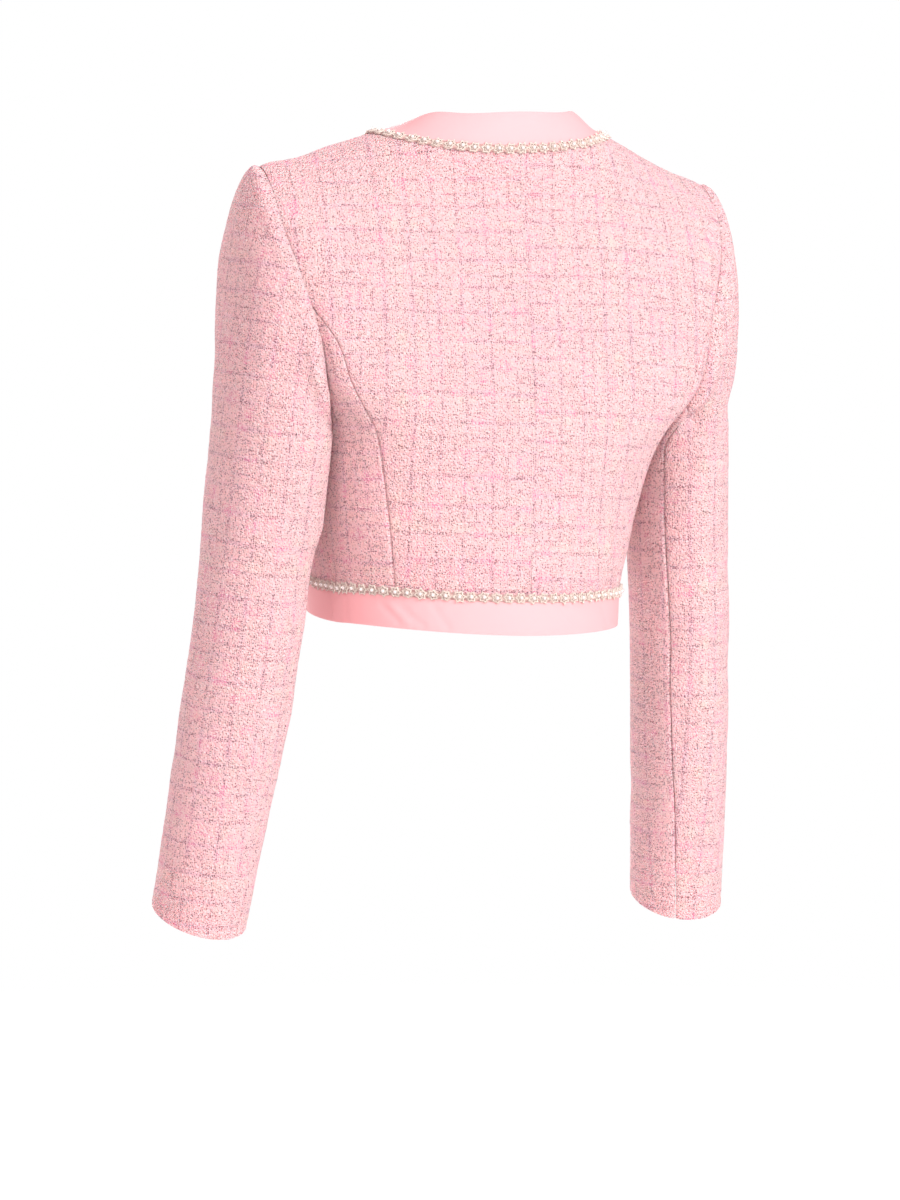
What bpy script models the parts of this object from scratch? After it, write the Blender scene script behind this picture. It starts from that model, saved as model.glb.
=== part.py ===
"""Cropped tweed jacket in its worn, hollow form, with nobody in it.

Front faces -Y, the wearer's left is +X and up is +Z. The origin lies on the shoulder line, midway
between the shoulder tips, where the wearer holds the jacket up. Tables are in centimetres and degrees,
everything else is in metres.

The body pieces are cut from one shell, a stack of rings that run from the neck edge over the shoulders
down to the hem. A place on it is (turn, down): turn is 0 at the centre back, 90 at the shoulder and side,
180 at the centre front, and down counts centimetres from the neck edge. The sleeves are lofted from the
armhole to the cuff. A place there is (turn, along): turn is 0 on the outer side, 90 behind, 180 inside,
270 in front, and along is 0 at the armhole, 1 at the top of the arm and 2 at the cuff.
"""

import functools
import math

import bmesh
import bpy
import numpy as np

COLLECTION = "cropped_tweed_jacket"
CM = 0.01

# Walls and seams
TWEED_WALL = 0.0020
BAND_WALL = 0.0013
SEAM_GAP = 0.0003

# Crocheted trim
TRIM_RISE = 0.0018
TRIM_HALF_WIDTH = 0.0046
SCALLOP_DEPTH = 0.0012
SCALLOP_PITCH = 0.0100
STEPS_A_SCALLOP = 3

# The shell's places of note, in centimetres down from the neck edge
NECK_SEAM = 3.3
SHOULDER_TIP = 13.2
UNDERARM = 28.6
HEM_SEAM = 42.6
HEM = 45.5

# down, half width, depth behind, depth in front, height at side, at centre back, at centre front,
# squareness behind, squareness in front
RINGS_CM = (
    (0.0, 7.5, 5.6, 6.6, 1.25, 1.75, -7.0, 2.0, 2.0),
    (NECK_SEAM, 10.3, 6.0, 7.7, 0.6, -1.25, -9.9, 2.1, 2.1),
    (8.2, 15.2, 6.1, 9.0, -1.1, -6.1, -13.4, 2.5, 2.3),
    (10.8, 17.7, 6.5, 9.7, -1.9, -8.5, -15.2, 2.85, 2.45),
    (SHOULDER_TIP, 20.0, 6.9, 10.4, -2.6, -11.0, -17.0, 3.2, 2.6),
    (18.6, 20.2, 7.6, 12.0, -9.2, -16.0, -20.6, 3.7, 2.8),
    (24.0, 18.4, 8.3, 13.2, -17.0, -21.0, -24.2, 3.6, 2.7),
    (UNDERARM, 15.2, 8.5, 13.9, -22.3, -25.0, -27.0, 2.7, 2.6),
    (30.6, 14.3, 8.5, 14.0, -24.4, -26.7, -28.1, 2.5, 2.6),
    (33.2, 13.8, 8.5, 14.1, -27.0, -28.9, -29.3, 2.25, 2.6),
    (38.0, 12.95, 8.8, 14.3, -31.5, -33.0, -31.6, 2.05, 2.7),
    (HEM_SEAM, 12.15, 9.2, 14.6, -36.0, -36.9, -33.8, 1.9, 3.1),
    (HEM, 11.95, 9.4, 14.7, -38.8, -39.8, -36.8, 1.9, 3.1),
)
RING_DIP = 1.5  # how late a ring's height leaves its height at the side

# The neck band stands up at two corners behind the sides of the neck.
CORNER_RISE_CM = 0.55
CORNER_TURN = 58.0
CORNER_WIDTH = 20.0
CORNER_ENDS = 2.4

# Armhole: an oval on the shell between the shoulder tip and the underarm
ARMHOLE_LEAN = 5.0  # degrees the underarm lies in front of the shoulder tip
ARMHOLE_BEHIND = 43.0
ARMHOLE_IN_FRONT = 28.0
ARMHOLE_ROUNDNESS = 0.64
PRINCESS_FROM = 75.0  # the sleeve turn where the princess seam leaves the armhole
SIDE_BACK_TIP = 0.2  # the side back's blunt tip starts this far below that place

# Columns of the back and front end nearer each other on the way down to the shoulder tip, so that the
# steep step from the shoulder to the armhole doesn't shear them.
GATHER_TO = 15.0  # the sleeve turn whose place on the armhole they spread to
GATHER_POWER = 4

# down, turn
PRINCESS_CM = (
    (18.9, 49.5),
    (20.5, 45.5),
    (23.0, 44.8),
    (26.0, 47.5),
    (30.0, 51.5),
    (36.0, 53.0),
    (HEM_SEAM, 56.0),
    (HEM, 56.0),
)
SIDE_TURN_AT_HEM = 97.5

# Each arm as it hangs, both with x to their own side: down the arm, centre x, y, z, half width outside,
# half width inside, half depth, degrees the seams turn round the arm
ARM_LENGTH = 37.9
LEFT_ARM_CM = (
    (0.0, 18.50, -1.20, -24.5, 4.65, 3.90, 5.75, 5.0),
    (5.5, 18.85, -1.85, -30.0, 4.65, 4.00, 5.20, 4.0),
    (12.5, 19.30, -2.60, -37.0, 4.55, 4.10, 4.70, 2.0),
    (20.3, 20.06, -3.90, -44.8, 4.45, 4.25, 4.50, 0.0),
    (28.3, 20.85, -5.70, -52.8, 4.15, 4.05, 4.20, -8.0),
    (ARM_LENGTH, 21.75, -7.95, -62.1, 3.85, 3.85, 3.95, -14.0),
)
RIGHT_ARM_CM = (
    (0.0, 18.35, -1.55, -24.5, 4.25, 3.75, 5.40, 5.0),
    (5.5, 18.65, -2.00, -30.0, 4.30, 3.75, 5.10, 4.0),
    (12.5, 19.30, -2.60, -37.0, 4.20, 3.65, 4.80, 2.0),
    (20.3, 20.20, -3.90, -44.8, 4.10, 3.75, 4.70, 0.0),
    (28.3, 21.25, -5.70, -52.8, 3.95, 3.85, 4.40, -8.0),
    (ARM_LENGTH, 22.35, -7.95, -62.1, 3.80, 3.80, 4.10, -14.0),
)
CUFF_TILT = math.radians(12.0)
HINDARM_SEAM = 135.0
FOREARM_SEAM = 240.0

# turn, then the way the sleeve head leaves the armhole (out, behind, up), then how far it keeps to that way
HEAD_CM = (
    (0.0, 0.90, -0.02, 0.43, 2.65),
    (45.0, 0.97, 0.05, 0.10, 2.5),
    (90.0, 0.95, 0.00, -0.20, 2.4),
    (135.0, 0.55, 0.05, -0.83, 1.9),
    (180.0, 0.30, 0.05, -0.95, 0.9),
    (225.0, 0.70, 0.20, -0.70, 1.3),
    (270.0, 0.95, 0.05, -0.25, 2.0),
    (315.0, 0.97, -0.05, 0.10, 2.5),
    (360.0, 0.90, -0.02, 0.43, 2.65),
)
SETTLE = 0.44  # share of the way to the top of the arm over which the head turns down it

# Folds: piece, start x, y, z, end x, y, z, half width, rise (a trough is negative)
FOLDS_CM = (
    ("sleeve_right", -23.8, -0.8, -19.3, -17.0, 4.0, -22.4, 1.2, -0.65),
    ("sleeve_right", -21.6, 0.5, -13.0, -20.6, 2.0, -16.5, 3.6, 0.45),
    ("sleeve_left", 21.0, 4.0, -8.0, 18.0, 5.5, -15.0, 1.8, -0.30),
    ("sleeve_left", 22.5, -2.0, -33.0, 17.5, 2.5, -36.0, 1.8, -0.22),
    ("sleeve_left", 16.0, 0.5, -43.0, 23.0, -1.0, -47.0, 1.8, -0.22),
    ("sleeve_right", -16.0, 0.5, -40.0, -23.0, -2.0, -43.0, 1.8, -0.20),
)

FOLDS_FROM = 0.35  # how far along the sleeve head the folds reach their full rise

# Grid steps
NECK_STEPS = 5
ARMHOLE_STEPS = 12
LOWER_STEPS = 9
BACK_STEPS = 12
SIDE_BACK_STEPS = 5
FRONT_STEPS = 14
HEAD_STEPS = 9
ARM_STEPS = 14
BAND_STEPS = 3

# Pose, in the jacket's own frame: x, how far the cloth drops there
DROP_CM = (
    (-27.0, 0.0),
    (-20.0, -0.05),
    (-14.0, -0.30),
    (-9.0, -0.50),
    (-4.0, -0.28),
    (0.0, 0.0),
    (4.0, 0.26),
    (9.0, 0.44),
    (14.0, 0.49),
    (20.0, 0.49),
    (27.0, 0.49),
)
DROP_FULL_AT = -8.0 * CM
DROP_GONE_AT = -26.0 * CM
# down, how far the body leans to the wearer's left below the armholes
LEAN_CM = (
    (UNDERARM, 0.0),
    (31.0, 0.2),
    (34.0, 0.4),
    (38.0, 0.6),
    (HEM_SEAM, 0.75),
    (HEM, 0.75),
)


class Spline:
    """A natural cubic spline through a table's columns, read at any place along its first column."""

    def __init__(self, rows):
        table = np.array(rows, float)
        self.places = table[:, 0]
        self.values = table[:, 1:]
        spans = np.diff(self.places)
        slopes = np.diff(self.values, axis=0) / spans[:, None]
        count = len(self.places)
        system = np.eye(count)
        change = np.zeros_like(self.values)
        for i in range(1, count - 1):
            system[i, i - 1 : i + 2] = spans[i - 1], 2 * (spans[i - 1] + spans[i]), spans[i]
            change[i] = 6 * (slopes[i] - slopes[i - 1])
        self.bends = np.linalg.solve(system, change)

    def __call__(self, place):
        """The columns at each place, on a last axis."""
        place = np.asarray(place, float)
        low = np.clip(np.searchsorted(self.places, place) - 1, 0, len(self.places) - 2)
        span = (self.places[low + 1] - self.places[low])[..., None]
        right = (place - self.places[low])[..., None] / span
        left = 1 - right
        straight = left * self.values[low] + right * self.values[low + 1]
        bend = (left**3 - left) * self.bends[low] + (right**3 - right) * self.bends[low + 1]
        return straight + bend * span**2 / 6


RINGS = Spline(RINGS_CM)
PRINCESS = Spline(PRINCESS_CM)
ARMS = {1.0: Spline(LEFT_ARM_CM), -1.0: Spline(RIGHT_ARM_CM)}
HEAD = Spline(HEAD_CM)
DROP = Spline(DROP_CM)
LEAN = Spline(LEAN_CM)


def unit(vectors):
    return vectors / np.linalg.norm(vectors, axis=-1, keepdims=True)


def joined(*columns):
    return np.stack(np.broadcast_arrays(*columns), axis=-1)


def eased(share):
    """0 to 1 with level ends."""
    share = np.clip(share, 0, 1)
    return share**2 * (3 - 2 * share)


def folds(piece, points):
    """How far the folds of a piece lift each point, in metres."""
    lift = np.zeros(points.shape[:-1])
    for name, *numbers in FOLDS_CM:
        if name != piece:
            continue
        numbers = np.array(numbers) * CM
        start, end, half_width, rise = numbers[:3], numbers[3:6], numbers[6], numbers[7]
        line = end - start
        share = np.clip((points - start) @ line / (line @ line), 0, 1)
        away = np.linalg.norm(points - start - share[..., None] * line, axis=-1)
        lift += rise * np.exp(-((away / half_width) ** 2))
    return lift


def shell_points(turn, down):
    """Points of the left half of the body shell."""
    half, behind, ahead, z_side, z_back, z_front, square_back, square_front = np.moveaxis(RINGS(down), -1, 0)
    angle = np.radians(turn)
    across, along = np.sin(angle), np.abs(np.cos(angle))
    is_back = np.cos(angle) >= 0
    square = np.where(is_back, square_back, square_front)
    reach = (np.abs(across) ** square + along**square) ** (-1 / square)
    depth = np.where(is_back, behind, -ahead) * along * reach
    z_end = np.where(is_back, z_back, z_front)
    height = z_side + (z_end - z_side) * (along * reach) ** RING_DIP
    corner = np.exp(-(((np.abs(turn) - CORNER_TURN) / CORNER_WIDTH) ** 2))
    height = height + CORNER_RISE_CM * corner * eased(1 - down / CORNER_ENDS)
    return joined(half * across * reach, depth, height) * CM


def posed(points):
    """Points moved to the pose of the shoulders, in the jacket's own frame."""
    share = eased((points[..., 2] - DROP_GONE_AT) / (DROP_FULL_AT - DROP_GONE_AT))
    place = np.clip(points[..., 0] / CM, DROP_CM[0][0], DROP_CM[-1][0])
    drop = DROP(place)[..., 0] * CM * share
    return points - joined(0 * drop, 0 * drop, drop)


def leaning(points, down):
    """Points of the body moved to the wearer's left below the armholes."""
    aside = np.where(down > UNDERARM, LEAN(np.maximum(down, UNDERARM))[..., 0], 0.0) * CM
    return points + joined(aside, 0 * aside, 0 * aside)


def slopes(surface, first, second, step_first, step_second):
    """A surface's two derivatives, by central differences."""
    by_first = surface(first + step_first, second) - surface(first - step_first, second)
    by_second = surface(first, second + step_second) - surface(first, second - step_second)
    return by_first / (2 * step_first), by_second / (2 * step_second)


def shell_wall(side, turn, down, thickness, lift=0.0):
    """Outer and inner points of a wall on the body shell, raised by lift."""
    turn, down = np.broadcast_arrays(np.asarray(turn, float), np.asarray(down, float))
    by_turn, by_down = slopes(shell_points, turn, down, 0.5, 0.1)
    normals = unit(np.cross(by_turn, by_down))
    mirror = np.array([side, 1, 1])
    outer = (shell_points(turn, down) + normals * lift) * mirror
    inner = outer - normals * mirror * thickness
    return posed(leaning(outer, down)), posed(leaning(inner, down))


def armhole_turns(sleeve_turn):
    """Where the armhole lies on the shell, as (turn, down), at a turn of the sleeve."""
    angle = np.radians(sleeve_turn)
    share = (1 - np.cos(angle)) / 2
    width = np.abs(np.sin(angle)) ** ARMHOLE_ROUNDNESS
    reach = np.where(np.sin(angle) >= 0, -ARMHOLE_BEHIND, ARMHOLE_IN_FRONT)
    turn = 90 + ARMHOLE_LEAN * share + reach * width
    return turn, SHOULDER_TIP + (UNDERARM - SHOULDER_TIP) * share


def arm_axes(arm, along):
    """Centre, widths and axes of the arm part of a sleeve; along runs from 1 to 2."""
    down_arm = (along - 1) * ARM_LENGTH
    row = arm(down_arm)
    way = unit(arm(down_arm + 0.05)[..., :3] - arm(down_arm - 0.05)[..., :3])
    out = unit(np.array([1.0, 0, 0]) - way * way[..., :1])
    return row[..., :3], row[..., 3:], way, out, np.cross(out, way)


def arm_points(arm, turn, along):
    """Points of a sleeve from the top of the arm to the cuff, with x to its own side."""
    turn, along = np.broadcast_arrays(np.asarray(turn, float), np.asarray(along, float))
    centre, widths, way, out, behind = arm_axes(arm, along)
    angle = np.radians(turn + widths[..., 3])
    across = np.cos(angle) * np.where(np.cos(angle) >= 0, widths[..., 0], widths[..., 1])
    depth = np.sin(angle) * widths[..., 2]
    slip = depth * math.tan(CUFF_TILT) * eased(2 * along - 3)
    ways = across[..., None] * out + depth[..., None] * behind + slip[..., None] * way
    return (centre + ways) * CM


def sleeve_points(arm, turn, along):
    """Points of a sleeve: a curve from the armhole to the top of the arm, then the arm."""
    turn, along = np.broadcast_arrays(np.asarray(turn, float), np.asarray(along, float))
    start = shell_points(*armhole_turns(turn)) + np.array([SEAM_GAP, 0, 0])
    head = HEAD(turn)
    leave = start + unit(head[..., :3]) * head[..., 3:] * CM
    end = arm_points(arm, turn, 1.0)
    reach = np.linalg.norm(end - start, axis=-1, keepdims=True) * SETTLE
    settle = end - arm_axes(arm, np.ones_like(along))[2] * reach
    share = np.clip(along, -0.01, 1)[..., None]
    rest = 1 - share
    curve = rest**3 * start + 3 * rest**2 * share * leave
    curve = curve + 3 * rest * share**2 * settle + share**3 * end
    return np.where(along[..., None] <= 1, curve, arm_points(arm, turn, np.maximum(along, 1)))


def sleeve_wall(side, turn, along, thickness):
    """Outer and inner points of a wall on a sleeve."""
    turn, along = np.broadcast_arrays(np.asarray(turn, float), np.asarray(along, float))
    surface = functools.partial(sleeve_points, ARMS[side])
    by_turn, by_along = slopes(surface, turn, along, 0.5, 0.004)
    normals = unit(np.cross(by_along, by_turn))
    mirror = np.array([side, 1, 1])
    piece = "sleeve_left" if side > 0 else "sleeve_right"
    base = surface(turn, along) * mirror
    lift = folds(piece, base) * eased(along / FOLDS_FROM)
    outer = base + normals * mirror * lift[..., None]
    return posed(outer), posed(outer - normals * mirror * thickness)


def across_gap(surface, first, second, step_first):
    """How far, in the first parameter, half a seam gap reaches."""
    ahead = surface(first + step_first, second)
    behind = surface(first - step_first, second)
    return SEAM_GAP / 2 * 2 * step_first / np.linalg.norm(ahead - behind, axis=-1)


def wall(name, outer, inner, material, collection):
    """A closed wall between two grids of points, as an object."""
    mesh = bmesh.new()
    rows, columns = outer.shape[:2]
    places = [(r, c) for r in range(rows) for c in range(columns)]
    outside, inside = ({place: mesh.verts.new(grid[place]) for place in places} for grid in (outer, inner))
    for layer in (outside, inside):
        for r in range(rows - 1):
            for c in range(columns - 1):
                mesh.faces.new((layer[r, c], layer[r, c + 1], layer[r + 1, c + 1], layer[r + 1, c]))
    rim = [(0, c) for c in range(columns)] + [(r, columns - 1) for r in range(1, rows)]
    rim += [(rows - 1, c) for c in range(columns - 2, -1, -1)] + [(r, 0) for r in range(rows - 2, 0, -1)]
    for pair in zip(rim, rim[1:] + rim[:1]):
        # Cut the same way on both sides of a seam, so that two twisted rims stay apart.
        a, b = sorted(pair)
        mesh.faces.new((outside[a], outside[b], inside[b]))
        mesh.faces.new((outside[a], inside[b], inside[a]))
    bmesh.ops.recalc_face_normals(mesh, faces=mesh.faces)
    data = bpy.data.meshes.new(name)
    mesh.to_mesh(data)
    mesh.free()
    data.shade_smooth()
    data.set_sharp_from_angle(angle=math.radians(50))
    data.materials.append(material)
    piece = bpy.data.objects.new(name, data)
    collection.objects.link(piece)
    return piece


def armhole_rows():
    """The shell's rows beside the armhole, where the sleeve's columns meet them."""
    return armhole_turns(np.linspace(0, 180, ARMHOLE_STEPS + 1))[1]


def body_rows():
    """Places down the shell of every row of the tweed, from the neck seam to the hem seam."""
    above = np.linspace(NECK_SEAM, SHOULDER_TIP, NECK_STEPS + 1)
    below = np.linspace(UNDERARM, HEM_SEAM, LOWER_STEPS + 1)
    side_back_tip = princess_top() + SIDE_BACK_TIP
    return np.sort(np.concatenate([above[:-1], armhole_rows(), [side_back_tip], below[1:]]))


def side_turn(down):
    """The turn of the side seam."""
    share = (down - UNDERARM) / (HEM - UNDERARM)
    start = 90 + ARMHOLE_LEAN
    return start + (SIDE_TURN_AT_HEM - start) * share


def armhole_edge(down, behind):
    """The turn of the armhole's back or front edge at a place down the shell."""
    share = np.clip((down - SHOULDER_TIP) / (UNDERARM - SHOULDER_TIP), 0, 1)
    sleeve_turn = np.degrees(np.arccos(1 - 2 * share))
    return armhole_turns(sleeve_turn if behind else 360 - sleeve_turn)[0]


def princess_top():
    return float(armhole_turns(PRINCESS_FROM)[1])


def princess_turn(down):
    """The turn of the princess seam, which starts on the armhole."""
    top = princess_top()
    rest = np.clip((down - top) / 4.0, 0, 1)
    miss = armhole_edge(top, True) - PRINCESS(top)[..., 0]
    return PRINCESS(down)[..., 0] + miss * (1 - rest) ** 2


def gathered(down, edge, behind):
    """The turn up to which a panel's columns spread evenly: its edge, or less by the shoulder tip."""
    turned = armhole_turns(GATHER_TO if behind else 360 - GATHER_TO)[0]
    share = eased((down - NECK_SEAM) / (SHOULDER_TIP - NECK_SEAM))
    even = 90 + (turned - 90) * share
    return np.minimum(edge, even) if behind else np.maximum(edge, even)


def shell_panel(side, down, low, high, steps, spread_low=None, spread_high=None):
    """A panel between two turns at each row, set back from its seams by half a gap."""
    low, high = np.broadcast_arrays(low, high)
    spread_low = low if spread_low is None else spread_low
    spread_high = high if spread_high is None else spread_high
    share = np.linspace(0, 1, steps + 1)[None, :]
    turn = spread_low[:, None] + (spread_high - spread_low)[:, None] * share
    turn += (high - spread_high)[:, None] * share**GATHER_POWER
    turn += (low - spread_low)[:, None] * (1 - share) ** GATHER_POWER
    turn[:, 0] = low + across_gap(shell_points, low, down, 0.5)
    turn[:, -1] = high - across_gap(shell_points, high, down, 0.5)
    rows = np.broadcast_to(down[:, None], turn.shape).copy()
    for edge, sign in ((0, 1), (-1, -1)):
        step = 0.1
        run = shell_points(turn[edge], rows[edge] + step) - shell_points(turn[edge], rows[edge] - step)
        rows[edge] += sign * SEAM_GAP / 2 * 2 * step / np.linalg.norm(run, axis=-1)
    return shell_wall(side, turn, rows, TWEED_WALL)


def back_piece(side):
    down = body_rows()
    seam = np.where(down < princess_top(), armhole_edge(down, True), princess_turn(down))
    edge = np.where(down <= SHOULDER_TIP, 90.0, seam)
    return shell_panel(side, down, 0.0 * down, edge, BACK_STEPS, spread_high=gathered(down, edge, True))


def side_back_piece(side):
    down = body_rows()
    down = down[down > princess_top() + 0.01]
    edge = np.where(down <= UNDERARM, armhole_edge(down, True), side_turn(down))
    return shell_panel(side, down, princess_turn(down), edge, SIDE_BACK_STEPS)


def front_piece(side):
    down = body_rows()
    seam = np.where(down <= UNDERARM, armhole_edge(down, False), side_turn(down))
    edge = np.where(down <= SHOULDER_TIP, 90.0, seam)
    centre = np.full_like(down, 180.0)
    return shell_panel(side, down, edge, centre, FRONT_STEPS, spread_low=gathered(down, edge, False))


def sleeve_piece(side, first, last):
    """A piece of a sleeve between two turns, with a column at each of the armhole's rows."""
    step = 180 / ARMHOLE_STEPS
    turn = np.arange(first, last + step / 2, step)
    along = np.concatenate(
        [np.linspace(0, 1, HEAD_STEPS + 1)[:-1], np.linspace(1, 2, ARM_STEPS + 1)]
    )
    turn, along = np.meshgrid(turn, along)
    surface = functools.partial(wrapped_sleeve, ARMS[side])
    for edge, sign in ((0, 1), (-1, -1)):
        turn[:, edge] += sign * across_gap(surface, turn[:, edge], along[:, edge], 0.5)
    return sleeve_wall(side, turn % 360, along, TWEED_WALL)


def wrapped_sleeve(arm, turn, along):
    return sleeve_points(arm, turn % 360, along)


def band_turns(edges):
    """Turns of a band's columns, which meet those of the panels between the given edges."""
    parts = [np.linspace(a, b, steps + 1)[:-1] for a, b, steps in edges]
    return np.concatenate(parts + [[edges[-1][1]]])


def band(turns, top, bottom, open_top):
    """A band from centre front round the back to centre front, or any stretch of it."""
    down = np.linspace(top, bottom, BAND_STEPS + 1)
    turn, down = np.meshgrid(turns, down)
    seam_row = -1 if open_top else 0
    down[seam_row] += (-1 if open_top else 1) * SEAM_GAP / 2 / CM
    side = np.where(turn < 0, -1.0, 1.0)
    sides = [shell_wall(s, np.abs(turn), down, BAND_WALL) for s in (-1.0, 1.0)]
    pick = (side > 0)[..., None]
    return [np.where(pick, left, right) for right, left in zip(*sides)]


def neck_band():
    """One band round the whole neckline, open at the centre front."""
    half = band_turns(((0, 90, BACK_STEPS), (90, 179.9, FRONT_STEPS)))
    turns = np.concatenate([-half[:0:-1], half])
    return band(turns, 0.0, NECK_SEAM, True)


def hem_band_back():
    seam = float(princess_turn(np.array(HEM_SEAM)))
    last = SIDE_TURN_AT_HEM - 0.07
    half = band_turns(((0, seam, BACK_STEPS), (seam, last, SIDE_BACK_STEPS)))
    turns = np.concatenate([-half[:0:-1], half])
    return band(turns, HEM_SEAM, HEM, False)


def hem_band_front(side):
    turns = np.linspace(SIDE_TURN_AT_HEM + 0.07, 179.9, FRONT_STEPS + 1)
    return band(side * turns, HEM_SEAM, HEM, False)


def trim(seam):
    """A crocheted strip over a seam, from centre front round the back to centre front."""
    guide = np.linspace(-179.5, 179.5, 720)
    line = shell_points(np.abs(guide), np.full_like(guide, seam)) * joined(np.sign(guide), 1, 1)
    run = np.concatenate([[0], np.cumsum(np.linalg.norm(np.diff(line, axis=0), axis=-1))])
    scallops = round(run[-1] / SCALLOP_PITCH)
    places = np.linspace(0, run[-1], scallops * STEPS_A_SCALLOP + 1)
    turns = np.interp(places, run, guide)
    phase = 2 * np.pi * np.arange(len(places)) / STEPS_A_SCALLOP
    half = TRIM_HALF_WIDTH - SCALLOP_DEPTH * (0.5 + 0.5 * np.cos(phase))
    down = seam + np.stack([-half, half]) / CM
    turn = np.broadcast_to(turns, down.shape)
    sides = [shell_wall(s, np.abs(turn), down, TRIM_RISE, SEAM_GAP + TRIM_RISE) for s in (-1.0, 1.0)]
    pick = (turn >= 0)[..., None]
    return [np.where(pick, left, right) for right, left in zip(*sides)]


def finish(name, colour, roughness, sheen=0.0):
    material = bpy.data.materials.new(name)
    material.use_nodes = True
    shader = material.node_tree.nodes["Principled BSDF"]
    shader.inputs["Base Color"].default_value = (*colour, 1)
    shader.inputs["Roughness"].default_value = roughness
    shader.inputs["Metallic"].default_value = 0.0
    shader.inputs["Sheen Weight"].default_value = sheen
    return material


def clear_scene():
    for leftover in list(bpy.data.objects):
        bpy.data.objects.remove(leftover, do_unlink=True)


def main():
    clear_scene()
    jacket = bpy.data.collections.new(COLLECTION)
    bpy.context.scene.collection.children.link(jacket)
    tweed = finish("pink_tweed", (0.84, 0.52, 0.56), 0.9, 0.3)
    band_cloth = finish("pink_band_cloth", (0.93, 0.62, 0.66), 0.55)
    crochet = finish("cream_crochet", (0.90, 0.84, 0.78), 0.75)
    for word, side in (("left", 1.0), ("right", -1.0)):
        wall(f"back_{word}", *back_piece(side), tweed, jacket)
        wall(f"side_back_{word}", *side_back_piece(side), tweed, jacket)
        wall(f"front_{word}", *front_piece(side), tweed, jacket)
        upper = sleeve_piece(side, FOREARM_SEAM, 360 + HINDARM_SEAM)
        under = sleeve_piece(side, HINDARM_SEAM, FOREARM_SEAM)
        wall(f"sleeve_upper_{word}", *upper, tweed, jacket)
        wall(f"sleeve_under_{word}", *under, tweed, jacket)
        wall(f"hem_band_front_{word}", *hem_band_front(side), band_cloth, jacket)
    wall("neck_band", *neck_band(), band_cloth, jacket)
    wall("hem_band_back", *hem_band_back(), band_cloth, jacket)
    wall("neck_trim", *trim(NECK_SEAM), crochet, jacket)
    wall("hem_trim", *trim(HEM_SEAM), crochet, jacket)


main()
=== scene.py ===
"""Looks of the cropped tweed jacket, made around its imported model.

Axes are the model's: front -Y, the wearer's left +X, up +Z. Tables that end in _CM and places down the body
and the arms are in centimetres, turns are in degrees, names that end in _MM are in millimetres, and every
other length is in metres.

A place on the body shell is (turn, down): turn is 0 at the centre back, 90 at the shoulder and side, 180
at the centre front, and down counts centimetres from the neck edge. A place on a sleeve is (turn, along):
turn is 0 outside, 90 behind, 180 inside, 270 in front, and along is 0 at the armhole, 1 at the top of the
arm and 2 at the cuff. Each cloth piece is a closed thin shell over its solid, with a flat pattern laid out
from it, so that the check follows the grain.
"""

import functools
import math

import bpy
import numpy as np
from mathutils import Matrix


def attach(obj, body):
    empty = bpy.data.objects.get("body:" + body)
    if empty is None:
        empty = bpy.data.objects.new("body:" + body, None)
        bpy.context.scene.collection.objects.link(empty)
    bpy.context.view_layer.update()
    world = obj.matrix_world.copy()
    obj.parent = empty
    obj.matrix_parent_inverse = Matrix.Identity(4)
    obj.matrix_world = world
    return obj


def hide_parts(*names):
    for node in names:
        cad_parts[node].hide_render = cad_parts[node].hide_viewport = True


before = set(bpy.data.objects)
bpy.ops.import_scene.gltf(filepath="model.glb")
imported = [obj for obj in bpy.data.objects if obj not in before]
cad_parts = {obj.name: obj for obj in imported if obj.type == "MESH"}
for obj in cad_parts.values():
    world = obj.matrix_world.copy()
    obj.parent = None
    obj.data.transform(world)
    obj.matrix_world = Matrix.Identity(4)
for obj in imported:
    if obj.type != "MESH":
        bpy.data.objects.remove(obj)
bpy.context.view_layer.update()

CM = 0.01
MM = 0.001

# ---------------------------------------------------------------- the jacket's form

NECK_SEAM = 3.3
SHOULDER_TIP = 13.2
UNDERARM = 28.6
HEM_SEAM = 42.6
HEM = 45.5

# down, half width, depth behind, depth in front, height at side, at centre back, at centre front,
# squareness behind, squareness in front
RINGS_CM = (
    (0.0, 7.5, 5.6, 6.6, 1.25, 1.75, -7.0, 2.0, 2.0),
    (NECK_SEAM, 10.3, 6.0, 7.7, 0.6, -1.25, -9.9, 2.1, 2.1),
    (8.2, 15.2, 6.1, 9.0, -1.1, -6.1, -13.4, 2.5, 2.3),
    (10.8, 17.7, 6.5, 9.7, -1.9, -8.5, -15.2, 2.85, 2.45),
    (SHOULDER_TIP, 20.0, 6.9, 10.4, -2.6, -11.0, -17.0, 3.2, 2.6),
    (18.6, 20.2, 7.6, 12.0, -9.2, -16.0, -20.6, 3.7, 2.8),
    (24.0, 18.4, 8.3, 13.2, -17.0, -21.0, -24.2, 3.6, 2.7),
    (UNDERARM, 15.2, 8.5, 13.9, -22.3, -25.0, -27.0, 2.7, 2.6),
    (30.6, 14.3, 8.5, 14.0, -24.4, -26.7, -28.1, 2.5, 2.6),
    (33.2, 13.8, 8.5, 14.1, -27.0, -28.9, -29.3, 2.25, 2.6),
    (38.0, 12.95, 8.8, 14.3, -31.5, -33.0, -31.6, 2.05, 2.7),
    (HEM_SEAM, 12.15, 9.2, 14.6, -36.0, -36.9, -33.8, 1.9, 3.1),
    (HEM, 11.95, 9.4, 14.7, -38.8, -39.8, -36.8, 1.9, 3.1),
)
RING_DIP = 1.5

CORNER_RISE_CM = 0.55
CORNER_TURN = 58.0
CORNER_WIDTH = 20.0
CORNER_ENDS = 2.4

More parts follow.
